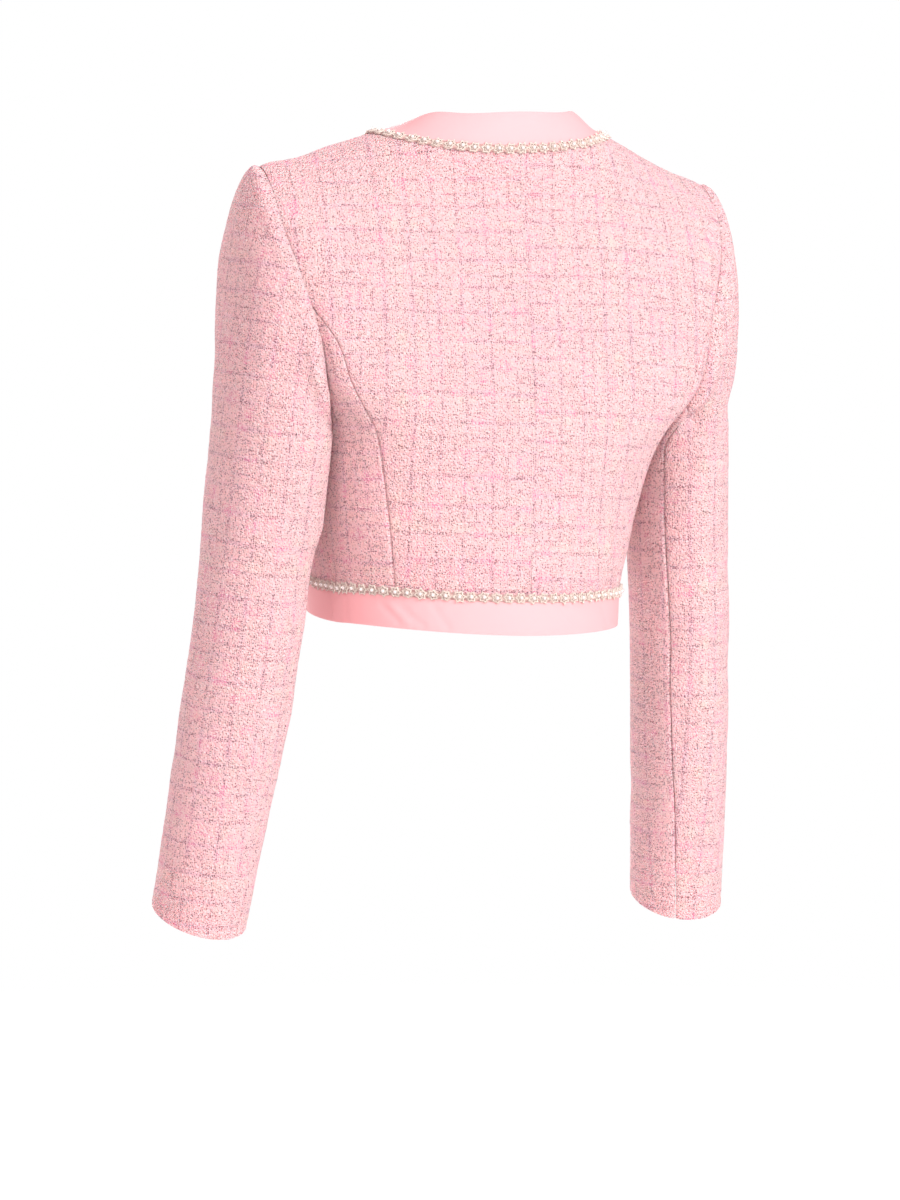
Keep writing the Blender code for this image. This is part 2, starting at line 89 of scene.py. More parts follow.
ARMHOLE_LEAN = 5.0
ARMHOLE_BEHIND = 43.0
ARMHOLE_IN_FRONT = 28.0
ARMHOLE_ROUNDNESS = 0.64
PRINCESS_FROM = 75.0
PRINCESS_MEETS = 4.0  # how far down the seam meets its table's line
SIDE_BACK_TIP = 0.03
TIP_PRESSED = 1.0  # how far above the shoulder tip the pressed seam ends
GATHER_TO = 15.0
GATHER_POWER = 4

# down, turn
PRINCESS_CM = (
    (18.9, 49.5),
    (20.5, 45.5),
    (23.0, 44.8),
    (26.0, 47.5),
    (30.0, 51.5),
    (36.0, 53.0),
    (HEM_SEAM, 56.0),
    (HEM, 56.0),
)
SIDE_TURN_AT_HEM = 97.5

# down the arm, centre x, y, z, half width outside, half width inside, half depth, degrees the seams turn
ARM_LENGTH = 37.9
LEFT_ARM_CM = (
    (0.0, 18.50, -1.20, -24.5, 4.65, 3.90, 5.75, 5.0),
    (5.5, 18.85, -1.85, -30.0, 4.65, 4.00, 5.20, 4.0),
    (12.5, 19.30, -2.60, -37.0, 4.55, 4.10, 4.70, 2.0),
    (20.3, 20.06, -3.90, -44.8, 4.45, 4.25, 4.50, 0.0),
    (28.3, 20.85, -5.70, -52.8, 4.15, 4.05, 4.20, -8.0),
    (ARM_LENGTH, 21.75, -7.95, -62.1, 3.85, 3.85, 3.95, -14.0),
)
RIGHT_ARM_CM = (
    (0.0, 18.35, -1.55, -24.5, 4.25, 3.75, 5.40, 5.0),
    (5.5, 18.65, -2.00, -30.0, 4.30, 3.75, 5.10, 4.0),
    (12.5, 19.30, -2.60, -37.0, 4.20, 3.65, 4.80, 2.0),
    (20.3, 20.20, -3.90, -44.8, 4.10, 3.75, 4.70, 0.0),
    (28.3, 21.25, -5.70, -52.8, 3.95, 3.85, 4.40, -8.0),
    (ARM_LENGTH, 22.35, -7.95, -62.1, 3.80, 3.80, 4.10, -14.0),
)
CUFF_TILT = math.radians(12.0)
CUFF_TILTS_FROM = 1.5
HINDARM_SEAM = 135.0
FOREARM_SEAM = 240.0

# turn, then the way the sleeve head leaves the armhole (out, behind, up), then how far it keeps to that way
HEAD_CM = (
    (0.0, 0.90, -0.02, 0.43, 2.65),
    (45.0, 0.97, 0.05, 0.10, 2.5),
    (90.0, 0.95, 0.00, -0.20, 2.4),
    (135.0, 0.55, 0.05, -0.83, 1.9),
    (180.0, 0.30, 0.05, -0.95, 0.9),
    (225.0, 0.70, 0.20, -0.70, 1.3),
    (270.0, 0.95, 0.05, -0.25, 2.0),
    (315.0, 0.97, -0.05, 0.10, 2.5),
    (360.0, 0.90, -0.02, 0.43, 2.65),
)
SETTLE = 0.44
FOLDS_FROM = 0.35

# Folds: where, start x, y, z, end x, y, z, half width, rise (a trough is negative)
FOLDS_CM = (
    ("sleeve_right", -23.8, -0.8, -19.3, -17.0, 4.0, -22.4, 1.2, -0.65),
    ("sleeve_right", -21.6, 0.5, -13.0, -20.6, 2.0, -16.5, 3.6, 0.45),
    ("sleeve_left", 21.0, 4.0, -8.0, 18.0, 5.5, -15.0, 1.8, -0.30),
    ("sleeve_left", 22.5, -2.0, -33.0, 17.5, 2.5, -36.0, 1.8, -0.22),
    ("sleeve_left", 16.0, 0.5, -43.0, 23.0, -1.0, -47.0, 1.8, -0.22),
    ("sleeve_right", -16.0, 0.5, -40.0, -23.0, -2.0, -43.0, 1.8, -0.20),
)
# Smaller creases than those in the solids, by the same columns
CREASES_CM = (
    ("sleeve_right", -20.6, 3.0, -23.0, -16.8, 3.6, -25.6, 0.8, -0.16),
    ("sleeve_right", -22.9, -1.0, -23.5, -19.0, 2.6, -26.4, 0.9, 0.12),
    ("sleeve_right", -23.0, -1.5, -33.5, -19.5, 2.0, -37.0, 1.1, -0.13),
    ("sleeve_right", -17.5, 0.6, -46.5, -22.8, -2.2, -49.5, 1.2, -0.12),
    ("sleeve_left", 17.4, 4.4, -20.0, 19.6, 3.2, -25.5, 0.9, -0.20),
    ("sleeve_left", 15.75, 3.0, -24.6, 15.65, 1.5, -31.0, 2.0, 0.60),
    ("sleeve_left", 19.4, 4.4, -15.5, 22.2, 1.0, -22.0, 1.6, 0.14),
    ("sleeve_left", 23.0, -3.0, -27.5, 19.0, 2.8, -30.5, 1.1, -0.12),
    ("sleeve_left", 17.6, 0.4, -51.0, 23.6, -2.6, -54.0, 1.2, -0.10),
    ("body_left", 15.5, 7.6, -20.5, 8.5, 8.6, -25.5, 1.2, -0.10),
    ("body_left", 14.4, 6.6, -24.5, 9.0, 8.6, -30.0, 1.3, 0.10),
    ("body_left", 11.5, 4.5, -30.0, 6.0, 8.8, -33.6, 1.0, -0.07),
    ("body_right", -15.5, 7.4, -19.5, -9.0, 8.6, -23.5, 1.3, -0.12),
    ("body_right", -13.8, 6.2, -24.0, -8.0, 8.6, -28.0, 1.2, 0.09),
    ("body_left", 16.0, -8.5, -20.5, 9.0, -13.4, -26.0, 1.6, -0.14),
    ("body_left", 14.0, -9.5, -26.0, 8.0, -14.0, -30.0, 1.4, 0.10),
    ("body_right", -16.0, -8.5, -20.0, -9.5, -13.4, -25.0, 1.6, -0.14),
    ("body_right", -14.0, -9.5, -26.5, -7.0, -14.0, -31.0, 1.4, 0.10),
)
# Creases of the hem band, by the same columns
BAND_CREASES_CM = (
    ("band", 11.4, 4.1, -37.3, 10.5, 5.2, -38.6, 0.28, -0.06),
    ("band", 10.9, 4.7, -37.4, 9.9, 5.8, -38.8, 0.30, 0.05),
    ("band", 10.2, 5.4, -37.6, 9.0, 6.6, -38.9, 0.34, -0.06),
    ("band", 9.6, 6.0, -38.0, 8.6, 6.8, -38.9, 0.26, 0.03),
    ("band", 8.3, 7.0, -37.4, 7.3, 7.6, -39.2, 0.32, -0.05),
    ("band", 12.8, 0.7, -36.6, 12.7, 0.5, -38.6, 0.35, -0.05),
    ("band", -2.0, 9.0, -37.9, -3.5, 8.7, -39.6, 0.35, -0.04),
    ("band", -6.6, 7.1, -37.4, -7.5, 6.5, -39.0, 0.32, -0.05),
    ("band", 9.8, -7.0, -35.0, 8.6, -9.8, -36.4, 0.35, -0.05),
    ("band", -9.4, -8.2, -34.8, -8.0, -10.8, -36.2, 0.35, -0.05),
)

# x, how far the cloth drops there
DROP_CM = (
    (-27.0, 0.0),
    (-20.0, -0.05),
    (-14.0, -0.30),
    (-9.0, -0.50),
    (-4.0, -0.28),
    (0.0, 0.0),
    (4.0, 0.26),
    (9.0, 0.44),
    (14.0, 0.49),
    (20.0, 0.49),
    (27.0, 0.49),
)
DROP_FULL_AT = -8.0 * CM
DROP_GONE_AT = -26.0 * CM
# down, how far the body leans to the wearer's left
LEAN_CM = (
    (UNDERARM, 0.0),
    (31.0, 0.2),
    (34.0, 0.4),
    (38.0, 0.6),
    (HEM_SEAM, 0.75),
    (HEM, 0.75),
)

# ---------------------------------------------------------------- the cloth

TWEED_THICK = 2.0 * MM
BAND_THICK = 1.3 * MM
TURN_STEPS_MM = (0.35, 0.8, 1.4, 2.2, 3.4)  # further columns beside a seam
HEAD_STEPS = 0.8  # share of the sleeve head's first row that further rows take up
CUFF_STEPS = (0.6, 0.3)  # further rows before the cuff's edge, in rows
# Kinds of edge: how wide the cloth turns down into it, how deep, half the parting of the two pieces
PRESSED = (2.3 * MM, 1.4 * MM, 0.22 * MM)
SUNK = (3.5 * MM, 0.30 * MM, -0.12 * MM)
FLAT = (2.0 * MM, 0.15 * MM, 0.0)

NUB_PITCH = 2.6 * MM
NUB_RISE = 0.10 * MM
DENT_PITCH = 26.0 * MM
DENT_RISE = 0.32 * MM
LUMP_TABLE = 512
NUB_SEED = 50
SHARP_EDGE = math.radians(50)
BAND_PUFF = 0.7 * MM
BAND_SINK = 0.3  # share of the puff that the band's edges sink by
BAND_EDGE_ROWS = (0.02, 0.05)

# Rolls of the sleeves beside the armhole: middle of its turns, half their spread, distance from the seam,
# half its width, rise (metres)
HEAD_ROLLS = {
    1.0: ((0.0, 62.0, 0.0085, 0.0050, 0.0009), (114.0, 32.0, 0.0060, 0.0060, 0.0030)),
    -1.0: ((0.0, 62.0, 0.0085, 0.0050, 0.0009), (112.0, 30.0, 0.0060, 0.0060, 0.0018)),
}
# How the armhole's back is drawn in under the sleeve: turn of the sleeve, how far in, how far aside
ARMHOLE_PULLS_CM = {
    1.0: (
        (0.0, 0.0, 0.0),
        (50.0, 0.03, 0.0),
        (62.0, 0.12, 0.12),
        (72.0, 0.26, 0.20),
        (82.0, 0.40, 0.18),
        (93.0, 0.55, 0.14),
        (105.0, 0.68, 0.22),
        (116.0, 0.75, 0.48),
        (125.0, 0.78, 0.72),
        (142.0, 0.75, 0.95),
        (160.0, 0.40, 0.50),
        (180.0, 0.0, 0.0),
    ),
    -1.0: (
        (0.0, 0.0, 0.0),
        (62.0, 0.08, 0.05),
        (90.0, 0.20, 0.08),
        (116.0, 0.36, 0.12),
        (140.0, 0.22, 0.10),
        (180.0, 0.0, 0.0),
    ),
}
ASIDE = (0.891, -0.454, 0.0)
BODY_PULL_WIDTH = 5.5 * MM
SLEEVE_PULL_WIDTH = 2.8 * MM
PULL_FADE = 1.3

# Steps that slopes are taken over: turn, down the body, along a sleeve, down an arm
TURN_STEP = 0.5
DOWN_STEP = 0.1
ALONG_STEP = 0.004
ARM_STEP = 0.05

NECK_ROWS = 40
ARMHOLE_ROWS = 84
LOWER_ROWS = 58
BACK_COLUMNS = 76
SIDE_BACK_COLUMNS = 24
FRONT_COLUMNS = 96
HEAD_ROWS = 52
ARM_ROWS = 150
SLEEVE_COLUMN_TURN = 2.5
BAND_ROWS = 14
BAND_COLUMN_TURN = 0.9

PATTERN_STEP = 1.5 * CM  # spacing of the points that a flat pattern is first laid out from
PATTERN_ROUNDS = 120
SHORTEST = 1.0 * MM
EVEN_ROUNDS = 160  # rounds in which all points then settle
EVEN_SPEED = 1.4
NEVER_ZERO = 1e-7

# ---------------------------------------------------------------- the trim

TRIM_HALF_WIDTH = 4.2 * MM
SCALLOP_DEPTH = 1.2 * MM
MOTIF_PITCH = 10.0 * MM
MOTIF_STRAY = 0.25 * MM
MOTIF_SIZES = 0.05
TAPE_LOW = 0.3 * MM
TAPE_HIGH = 1.0 * MM
TAPE_ROUND = 0.5 * MM
TAPE_STEPS = 8  # steps along the tape for each motif
TAPE_COLUMNS = 7
TRIM_TURN = 179.6
TRIM_GUIDES = 1440
PETALS = 6
PETAL_SIDES = (12, 4)
PETAL_RADIUS = 3.6 * MM
PETAL_REACH = 0.26
PETAL_YARN = 0.78 * MM
PETAL_HEIGHT = (0.75, 0.35)  # the middle height of a petal's yarn and its wave, in yarns
CUP_SIDES = (8, 3)
CUP_RADIUS = 1.9 * MM
CUP_YARN = 0.45 * MM
PEARL_SIDES = 10
PEARL_RINGS = 6
PEARL_RADIUS = 1.6 * MM
PEARL_HEIGHT = 2.7 * MM


class Spline:
    """A natural cubic spline through a table's columns, read at any place along its first column."""

    def __init__(self, rows):
        table = np.array(rows, float)
        self.places = table[:, 0]
        self.values = table[:, 1:]
        spans = np.diff(self.places)
        slopes = np.diff(self.values, axis=0) / spans[:, None]
        count = len(self.places)
        system = np.eye(count)
        change = np.zeros_like(self.values)
        for i in range(1, count - 1):
            system[i, i - 1 : i + 2] = spans[i - 1], 2 * (spans[i - 1] + spans[i]), spans[i]
            change[i] = 6 * (slopes[i] - slopes[i - 1])
        self.bends = np.linalg.solve(system, change)

    def __call__(self, place):
        """The columns at each place, on a last axis."""
        place = np.asarray(place, float)
        low = np.clip(np.searchsorted(self.places, place) - 1, 0, len(self.places) - 2)
        span = (self.places[low + 1] - self.places[low])[..., None]
        right = (place - self.places[low])[..., None] / span
        left = 1 - right
        straight = left * self.values[low] + right * self.values[low + 1]
        bend = (left**3 - left) * self.bends[low] + (right**3 - right) * self.bends[low + 1]
        return straight + bend * span**2 / 6


RINGS = Spline(RINGS_CM)
PRINCESS = Spline(PRINCESS_CM)
ARMS = {1.0: Spline(LEFT_ARM_CM), -1.0: Spline(RIGHT_ARM_CM)}
HEAD = Spline(HEAD_CM)
DROP = Spline(DROP_CM)
LEAN = Spline(LEAN_CM)


def unit(vectors):
    return vectors / np.linalg.norm(vectors, axis=-1, keepdims=True)


def joined(*columns):
    return np.stack(np.broadcast_arrays(*columns), axis=-1)


def eased(share):
    """0 to 1 with level ends."""
    share = np.clip(share, 0, 1)
    return share**2 * (3 - 2 * share)


def fold_lift(table, where, points):
    """How far the folds of a table lift each point, in metres."""
    lift = np.zeros(points.shape[:-1])
    for name, *numbers in table:
        if name != where:
            continue
        numbers = np.array(numbers) * CM
        start, end, half_width, rise = numbers[:3], numbers[3:6], numbers[6], numbers[7]
        line = end - start
        share = (points - start) @ line / (line @ line)
        away = np.linalg.norm(points - start - np.clip(share, 0, 1)[..., None] * line, axis=-1)
        lift += rise * np.exp(-((away / half_width) ** 2))
    return lift


def shell_points(turn, down):
    """Points of the left half of the body shell."""
    half, behind, ahead, z_side, z_back, z_front, square_back, square_front = np.moveaxis(RINGS(down), -1, 0)
    angle = np.radians(turn)
    across, along = np.sin(angle), np.abs(np.cos(angle))
    is_back = np.cos(angle) >= 0
    square = np.where(is_back, square_back, square_front)
    reach = (np.abs(across) ** square + along**square) ** (-1 / square)
    depth = np.where(is_back, behind, -ahead) * along * reach
    z_end = np.where(is_back, z_back, z_front)
    height = z_side + (z_end - z_side) * (along * reach) ** RING_DIP
    corner = np.exp(-(((np.abs(turn) - CORNER_TURN) / CORNER_WIDTH) ** 2))
    height = height + CORNER_RISE_CM * corner * eased(1 - down / CORNER_ENDS)
    return joined(half * across * reach, depth, height) * CM


def posed(points):
    """Points moved to the pose of the shoulders."""
    share = eased((points[..., 2] - DROP_GONE_AT) / (DROP_FULL_AT - DROP_GONE_AT))
    place = np.clip(points[..., 0] / CM, DROP_CM[0][0], DROP_CM[-1][0])
    drop = DROP(place)[..., 0] * CM * share
    return points - joined(0 * drop, 0 * drop, drop)


def slopes(surface, first, second, step_first, step_second):
    """A surface's two derivatives, by central differences."""
    by_first = surface(first + step_first, second) - surface(first - step_first, second)
    by_second = surface(first, second + step_second) - surface(first, second - step_second)
    return by_first / (2 * step_first), by_second / (2 * step_second)


def degrees_a_metre(surface, turn, second):
    """How many degrees of turn make a metre."""
    ahead, behind = surface(turn + TURN_STEP, second), surface(turn - TURN_STEP, second)
    return 2 * TURN_STEP / np.linalg.norm(ahead - behind, axis=-1)


def body_surface(side, turn, down):
    """Points and outward normals on the body shell. side is 1 on the wearer's left and -1 on the right."""
    by_turn, by_down = slopes(shell_points, turn, down, TURN_STEP, DOWN_STEP)
    mirror = joined(side, 1.0, 1.0)
    aside = np.where(down > UNDERARM, LEAN(np.maximum(down, UNDERARM))[..., 0], 0.0) * CM
    points = shell_points(turn, down) * mirror + joined(aside, 0 * aside, 0 * aside)
    return points, unit(np.cross(by_turn, by_down)) * mirror


def body_round(turn, down):
    """Points and normals round the body, where turn is negative on the wearer's right."""
    return body_surface(np.where(turn < 0, -1.0, 1.0), np.abs(turn), down)


def armhole_turns(sleeve_turn):
    """Where the armhole lies on the shell, as (turn, down), at a turn of the sleeve."""
    angle = np.radians(sleeve_turn)
    share = (1 - np.cos(angle)) / 2
    width = np.abs(np.sin(angle)) ** ARMHOLE_ROUNDNESS
    reach = np.where(np.sin(angle) >= 0, -ARMHOLE_BEHIND, ARMHOLE_IN_FRONT)
    turn = 90 + ARMHOLE_LEAN * share + reach * width
    return turn, SHOULDER_TIP + (UNDERARM - SHOULDER_TIP) * share


def arm_axes(arm, along):
    """Centre, widths and axes of the arm part of a sleeve; along runs from 1 to 2."""
    down_arm = (along - 1) * ARM_LENGTH
    row = arm(down_arm)
    way = unit(arm(down_arm + ARM_STEP)[..., :3] - arm(down_arm - ARM_STEP)[..., :3])
    out = unit(np.array([1.0, 0, 0]) - way * way[..., :1])
    return row[..., :3], row[..., 3:], way, out, np.cross(out, way)


def arm_points(arm, turn, along):
    """Points of a sleeve from the top of the arm to the cuff, with x to its own side."""
    centre, widths, way, out, behind = arm_axes(arm, along)
    angle = np.radians(turn + widths[..., 3])
    across = np.cos(angle) * np.where(np.cos(angle) >= 0, widths[..., 0], widths[..., 1])
    depth = np.sin(angle) * widths[..., 2]
    slip = depth * math.tan(CUFF_TILT) * eased((along - CUFF_TILTS_FROM) / (2 - CUFF_TILTS_FROM))
    return (centre + across[..., None] * out + depth[..., None] * behind + slip[..., None] * way) * CM


def sleeve_points(arm, turn, along):
    """Points of a sleeve: a curve from the armhole to the top of the arm, then the arm."""
    turn, along = np.broadcast_arrays(np.asarray(turn, float) % 360, np.asarray(along, float))
    start = shell_points(*armhole_turns(turn))
    head = HEAD(turn)
    leave = start + unit(head[..., :3]) * head[..., 3:] * CM
    ones = np.ones_like(along)
    end = arm_points(arm, turn, ones)
    reach = np.linalg.norm(end - start, axis=-1, keepdims=True) * SETTLE
    settle = end - arm_axes(arm, ones)[2] * reach
    share = np.clip(along, -2 * ALONG_STEP, 1)[..., None]
    rest = 1 - share
    curve = rest**3 * start + 3 * rest**2 * share * leave
    curve = curve + 3 * rest * share**2 * settle + share**3 * end
    return np.where(along[..., None] <= 1, curve, arm_points(arm, turn, np.maximum(along, 1)))


def sleeve_surface(side, turn, along):
    """Points, with the solids' own folds, and outward normals on a sleeve."""
    surface = functools.partial(sleeve_points, ARMS[side])
    by_turn, by_along = slopes(surface, turn, along, TURN_STEP, ALONG_STEP)
    mirror = np.array([side, 1, 1])
    normals = unit(np.cross(by_along, by_turn)) * mirror
    points = surface(turn, along) * mirror
    lift = fold_lift(FOLDS_CM, "sleeve_left" if side > 0 else "sleeve_right", points)
    return points + normals * (lift * eased(along / FOLDS_FROM))[..., None], normals


# ---------------------------------------------------------------- grids of places


def body_rows():
    """Places down the shell of every row of the tweed, from the neck seam to the hem seam."""
    above = np.linspace(NECK_SEAM, SHOULDER_TIP, NECK_ROWS + 1)
    beside = armhole_turns(np.linspace(0, 180, ARMHOLE_ROWS + 1))[1]
    below = np.linspace(UNDERARM, HEM_SEAM, LOWER_ROWS + 1)
    side_back_tip = princess_top() + SIDE_BACK_TIP
    return np.sort(np.concatenate([above[:-1], beside, [side_back_tip], below[1:]]))


def side_turn(down):
    """The turn of the side seam."""
    start = 90 + ARMHOLE_LEAN
    return start + (SIDE_TURN_AT_HEM - start) * (down - UNDERARM) / (HEM - UNDERARM)


def armhole_edge(down, behind):
    """The turn of the armhole's back or front edge at a place down the shell."""
    share = np.clip((down - SHOULDER_TIP) / (UNDERARM - SHOULDER_TIP), 0, 1)
    sleeve_turn = np.degrees(np.arccos(1 - 2 * share))
    return armhole_turns(sleeve_turn if behind else 360 - sleeve_turn)[0]


def princess_top():
    return float(armhole_turns(PRINCESS_FROM)[1])


def princess_turn(down):
    """The turn of the princess seam, which starts on the armhole."""
    top = princess_top()
    rest = np.clip((down - top) / PRINCESS_MEETS, 0, 1)
    miss = armhole_edge(top, True) - PRINCESS(top)[..., 0]
    return PRINCESS(down)[..., 0] + miss * (1 - rest) ** 2


def gathered(down, edge, behind):
    """The turn up to which a panel's columns spread evenly: its edge, or less by the shoulder tip."""
    turned = armhole_turns(GATHER_TO if behind else 360 - GATHER_TO)[0]
    share = eased((down - NECK_SEAM) / (SHOULDER_TIP - NECK_SEAM))
    even = 90 + (turned - 90) * share
    return np.minimum(edge, even) if behind else np.maximum(edge, even)


def beside_seams(turn, scale, first, last):
    """A grid of turns with further columns close to both edges. scale is degrees for a metre at each edge,
    and first and last are the kinds of the edges."""
    start = turn[:, 0] + scale[0] * first[2]
    end = turn[:, -1] - scale[1] * last[2]
    near, far = [start], [end]
    for i, step in enumerate(TURN_STEPS_MM):
        most = (i + 1) / (len(TURN_STEPS_MM) + 1)
        near.append(start + np.minimum(scale[0] * step * MM, most * (turn[:, 1] - start)))
        far.append(end - np.minimum(scale[1] * step * MM, most * (end - turn[:, -2])))
    return np.concatenate([np.stack(near, 1), turn[:, 1:-1], np.stack(far[::-1], 1)], axis=1)


def changing(down, *kinds):
    """An edge whose kind changes on the way down. Each kind comes with the place down that it ends at."""
    found = np.empty((3, len(down)))
    for end, kind in reversed(kinds):
        found[:, down <= end] = np.array(kind)[:, None]
    return found


def panel_places(down, low, high, columns, first, last, spread_low=None, spread_high=None):
    """Turns and places down of a body panel between two turns at each row, and the kinds of its edges."""
    spread_low = low if spread_low is None else spread_low
    spread_high = high if spread_high is None else spread_high
    share = np.linspace(0, 1, columns + 1)[None, :]
    turn = spread_low[:, None] + (spread_high - spread_low)[:, None] * share
    turn += (high - spread_high)[:, None] * share**GATHER_POWER
    turn += (low - spread_low)[:, None] * (1 - share) ** GATHER_POWER
    scale = [degrees_a_metre(shell_points, edge, down) for edge in (low, high)]
    turn = beside_seams(turn, scale, first, last)
    return turn, np.broadcast_to(down[:, None], turn.shape).copy(), {"first": first, "last": last}


def back_places():
    down = body_rows()
    seam = np.where(down < princess_top(), armhole_edge(down, True), princess_turn(down))
    edge = np.where(down <= SHOULDER_TIP, 90.0, seam)
    outer = changing(down, (SHOULDER_TIP - TIP_PRESSED, PRESSED), (princess_top(), SUNK), (HEM, PRESSED))
    spread = gathered(down, edge, True)
    return panel_places(down, 0.0 * down, edge, BACK_COLUMNS, FLAT, outer, spread_high=spread)


def side_back_places():
    down = body_rows()
    down = down[down > princess_top() + SIDE_BACK_TIP / 2]
    edge = np.where(down <= UNDERARM, armhole_edge(down, True), side_turn(down))
    outer = changing(down, (UNDERARM, SUNK), (HEM, PRESSED))
    return panel_places(down, princess_turn(down), edge, SIDE_BACK_COLUMNS, PRESSED, outer)


def front_places():
    down = body_rows()
    seam = np.where(down <= UNDERARM, armhole_edge(down, False), side_turn(down))
    edge = np.where(down <= SHOULDER_TIP, 90.0, seam)
    centre = np.full_like(down, 180.0)
    outer = changing(down, (SHOULDER_TIP - TIP_PRESSED, PRESSED), (UNDERARM, SUNK), (HEM, PRESSED))
    spread = gathered(down, edge, False)
    return panel_places(down, edge, centre, FRONT_COLUMNS, outer, FLAT, spread_low=spread)


def sleeve_places(side, first, last):
    """Turns and places along of a sleeve piece between two turns."""
    columns = round((last - first) / SLEEVE_COLUMN_TURN)
    turn = np.linspace(first, last, columns + 1)
    head = np.linspace(0, 1, HEAD_ROWS + 1)
    beside = head[1] * np.array(TURN_STEPS_MM) / TURN_STEPS_MM[-1] * HEAD_STEPS
    cuff = 2 - np.array(CUFF_STEPS) / ARM_ROWS
    arm = np.linspace(1, 2, ARM_ROWS + 1)
    along = np.concatenate([[0], beside, head[1:-1], arm[:-1], cuff, [2]])
    turn, along = np.meshgrid(turn, along)
    surface = functools.partial(sleeve_points, ARMS[side])
    scale = [degrees_a_metre(surface, turn[:, edge], along[:, edge]) for edge in (0, -1)]
    turn = beside_seams(turn, scale, PRESSED, PRESSED)
    return turn, np.broadcast_to(along[:, :1], turn.shape).copy()


# ---------------------------------------------------------------- flat patterns

ALL, LESS, MORE = slice(None), slice(None, -1), slice(1, None)
# Neighbours on a grid: along its rows, down its columns and over both diagonals
NEIGHBOURS = (
    ((ALL, LESS), (ALL, MORE)),
    ((LESS, ALL), (MORE, ALL)),
    ((LESS, LESS), (MORE, MORE)),
    ((LESS, MORE), (MORE, LESS)),
)


def run_along(points, axis):
    """Length along a grid's rows or columns, from the first point of each."""
    steps = np.linalg.norm(np.diff(points, axis=axis), axis=-1)
    start = np.zeros_like(np.take(steps, [0], axis=axis))
    return np.concatenate([start, np.cumsum(steps, axis=axis)], axis=axis)


def even_picks(run, step):
    """Indices about a step apart along a run of lengths, with both ends."""
    marks = np.linspace(0, run[-1], max(3, int(round(run[-1] / step)) + 1))
    return np.unique(np.abs(run[None, :] - marks[:, None]).argmin(axis=1))


def flat_pattern(points, grain, keep):
    """Lays a grid of cloth points flat, with its lengths kept as well as they can be. grain is the share
    of the width whose column stands upright, and keep are rows to lay out first. Returns the flat points,
    and the pattern's size and area."""
    down_run = run_along(points, 0)
    across_run = run_along(points, 1)
    rows = even_picks(down_run[:, points.shape[1] // 2], PATTERN_STEP)
    rows = np.union1d(rows, keep).astype(int)
    widest = across_run[:, -1].argmax()
    columns = even_picks(across_run[widest], PATTERN_STEP)
    picked = points[rows][:, columns]
    high, wide = len(rows), len(columns)
    number = np.arange(high * wide).reshape(high, wide)
    pairs = np.concatenate([np.stack([number[a].ravel(), number[b].ravel()], 1) for a, b in NEIGHBOURS])
    solid = picked.reshape(-1, 3)
    lengths = np.linalg.norm(solid[pairs[:, 0]] - solid[pairs[:, 1]], axis=1)
    pull = 1 / np.maximum(lengths, SHORTEST)
    stiff = np.zeros((high * wide, high * wide))
    for a, b in ((0, 0), (1, 1), (0, 1), (1, 0)):
        np.add.at(stiff, (pairs[:, a], pairs[:, b]), pull if a == b else -pull)
    solver = np.linalg.inv(stiff + 1.0 / len(stiff))
    upright = round(grain * (wide - 1))
    across = run_along(picked, 1)
    flat = joined(across - across[:, [upright]], -run_along(picked, 0)[:, [upright]]).reshape(-1, 2)
    for _ in range(PATTERN_ROUNDS):
        apart = flat[pairs[:, 0]] - flat[pairs[:, 1]]
        share = lengths / np.maximum(np.linalg.norm(apart, axis=1), NEVER_ZERO)
        wanted = apart * (pull * share)[:, None]
        push = np.zeros_like(flat)
        np.add.at(push, pairs[:, 0], wanted)
        np.add.at(push, pairs[:, 1], -wanted)
        flat = solver @ push
    flat = flat.reshape(high, wide, 2)
    way = flat[-1, upright] - flat[0, upright]
    lean = math.atan2(way[0], -way[1])
    turned = np.array([[math.cos(lean), math.sin(lean)], [-math.sin(lean), math.cos(lean)]])
    flat = (flat - flat[0, upright]) @ turned.T
    one, two = flat[1:, 1:] - flat[:-1, :-1], flat[1:, :-1] - flat[:-1, 1:]
    area = float(np.abs(one[..., 0] * two[..., 1] - one[..., 1] * two[..., 0]).sum() / 2)
    size = np.ptp(flat.reshape(-1, 2), axis=0)
    by_row = np.stack(
        [
            [np.interp(across_run[r], across_run[r][columns], flat[i, :, k]) for k in (0, 1)]
            for i, r in enumerate(rows)
        ]
    )
    laid = np.empty(points.shape[:2] + (2,))
    for c in range(points.shape[1]):
        for k in (0, 1):
            laid[:, c, k] = np.interp(down_run[:, c], down_run[rows, c], by_row[:, k, c])
    return settled(points, laid), size, area


def settled(points, laid):
    """A flat pattern after rounds in which each point moves to keep the lengths to its neighbours."""
    lengths = [np.linalg.norm(points[b] - points[a], axis=-1) for a, b in NEIGHBOURS]
    count = np.zeros(points.shape[:2])
    for a, b in NEIGHBOURS:
        count[a] += 1
        count[b] += 1
    for _ in range(EVEN_ROUNDS):
        move = np.zeros_like(laid)
        for (a, b), length in zip(NEIGHBOURS, lengths):
            apart = laid[b] - laid[a]
            flat = np.maximum(np.linalg.norm(apart, axis=-1), NEVER_ZERO)
            push = apart * ((flat - length) / flat / 2)[..., None]
            move[a] += push
            move[b] -= push
        laid = laid + EVEN_SPEED * move / count[..., None]
    return laid


def strip_pattern(points):
    """The flat pattern of a straight strip, as flat_pattern gives it."""
    along, across = run_along(points, 1), run_along(points, 0)
    middle = along[len(along) // 2]
    laid = joined(middle[None, :] + 0 * along, -across)
    size = np.array([middle[-1], across[-1].mean()])
    return laid, size, float(size[0] * size[1])


# ---------------------------------------------------------------- shells


def quads(high, wide):
    """Faces of a grid."""
    number = np.arange(high * wide).reshape(high, wide)
    return joined(number[:-1, :-1], number[:-1, 1:], number[1:, 1:], number[1:, :-1]).reshape(-1, 4)


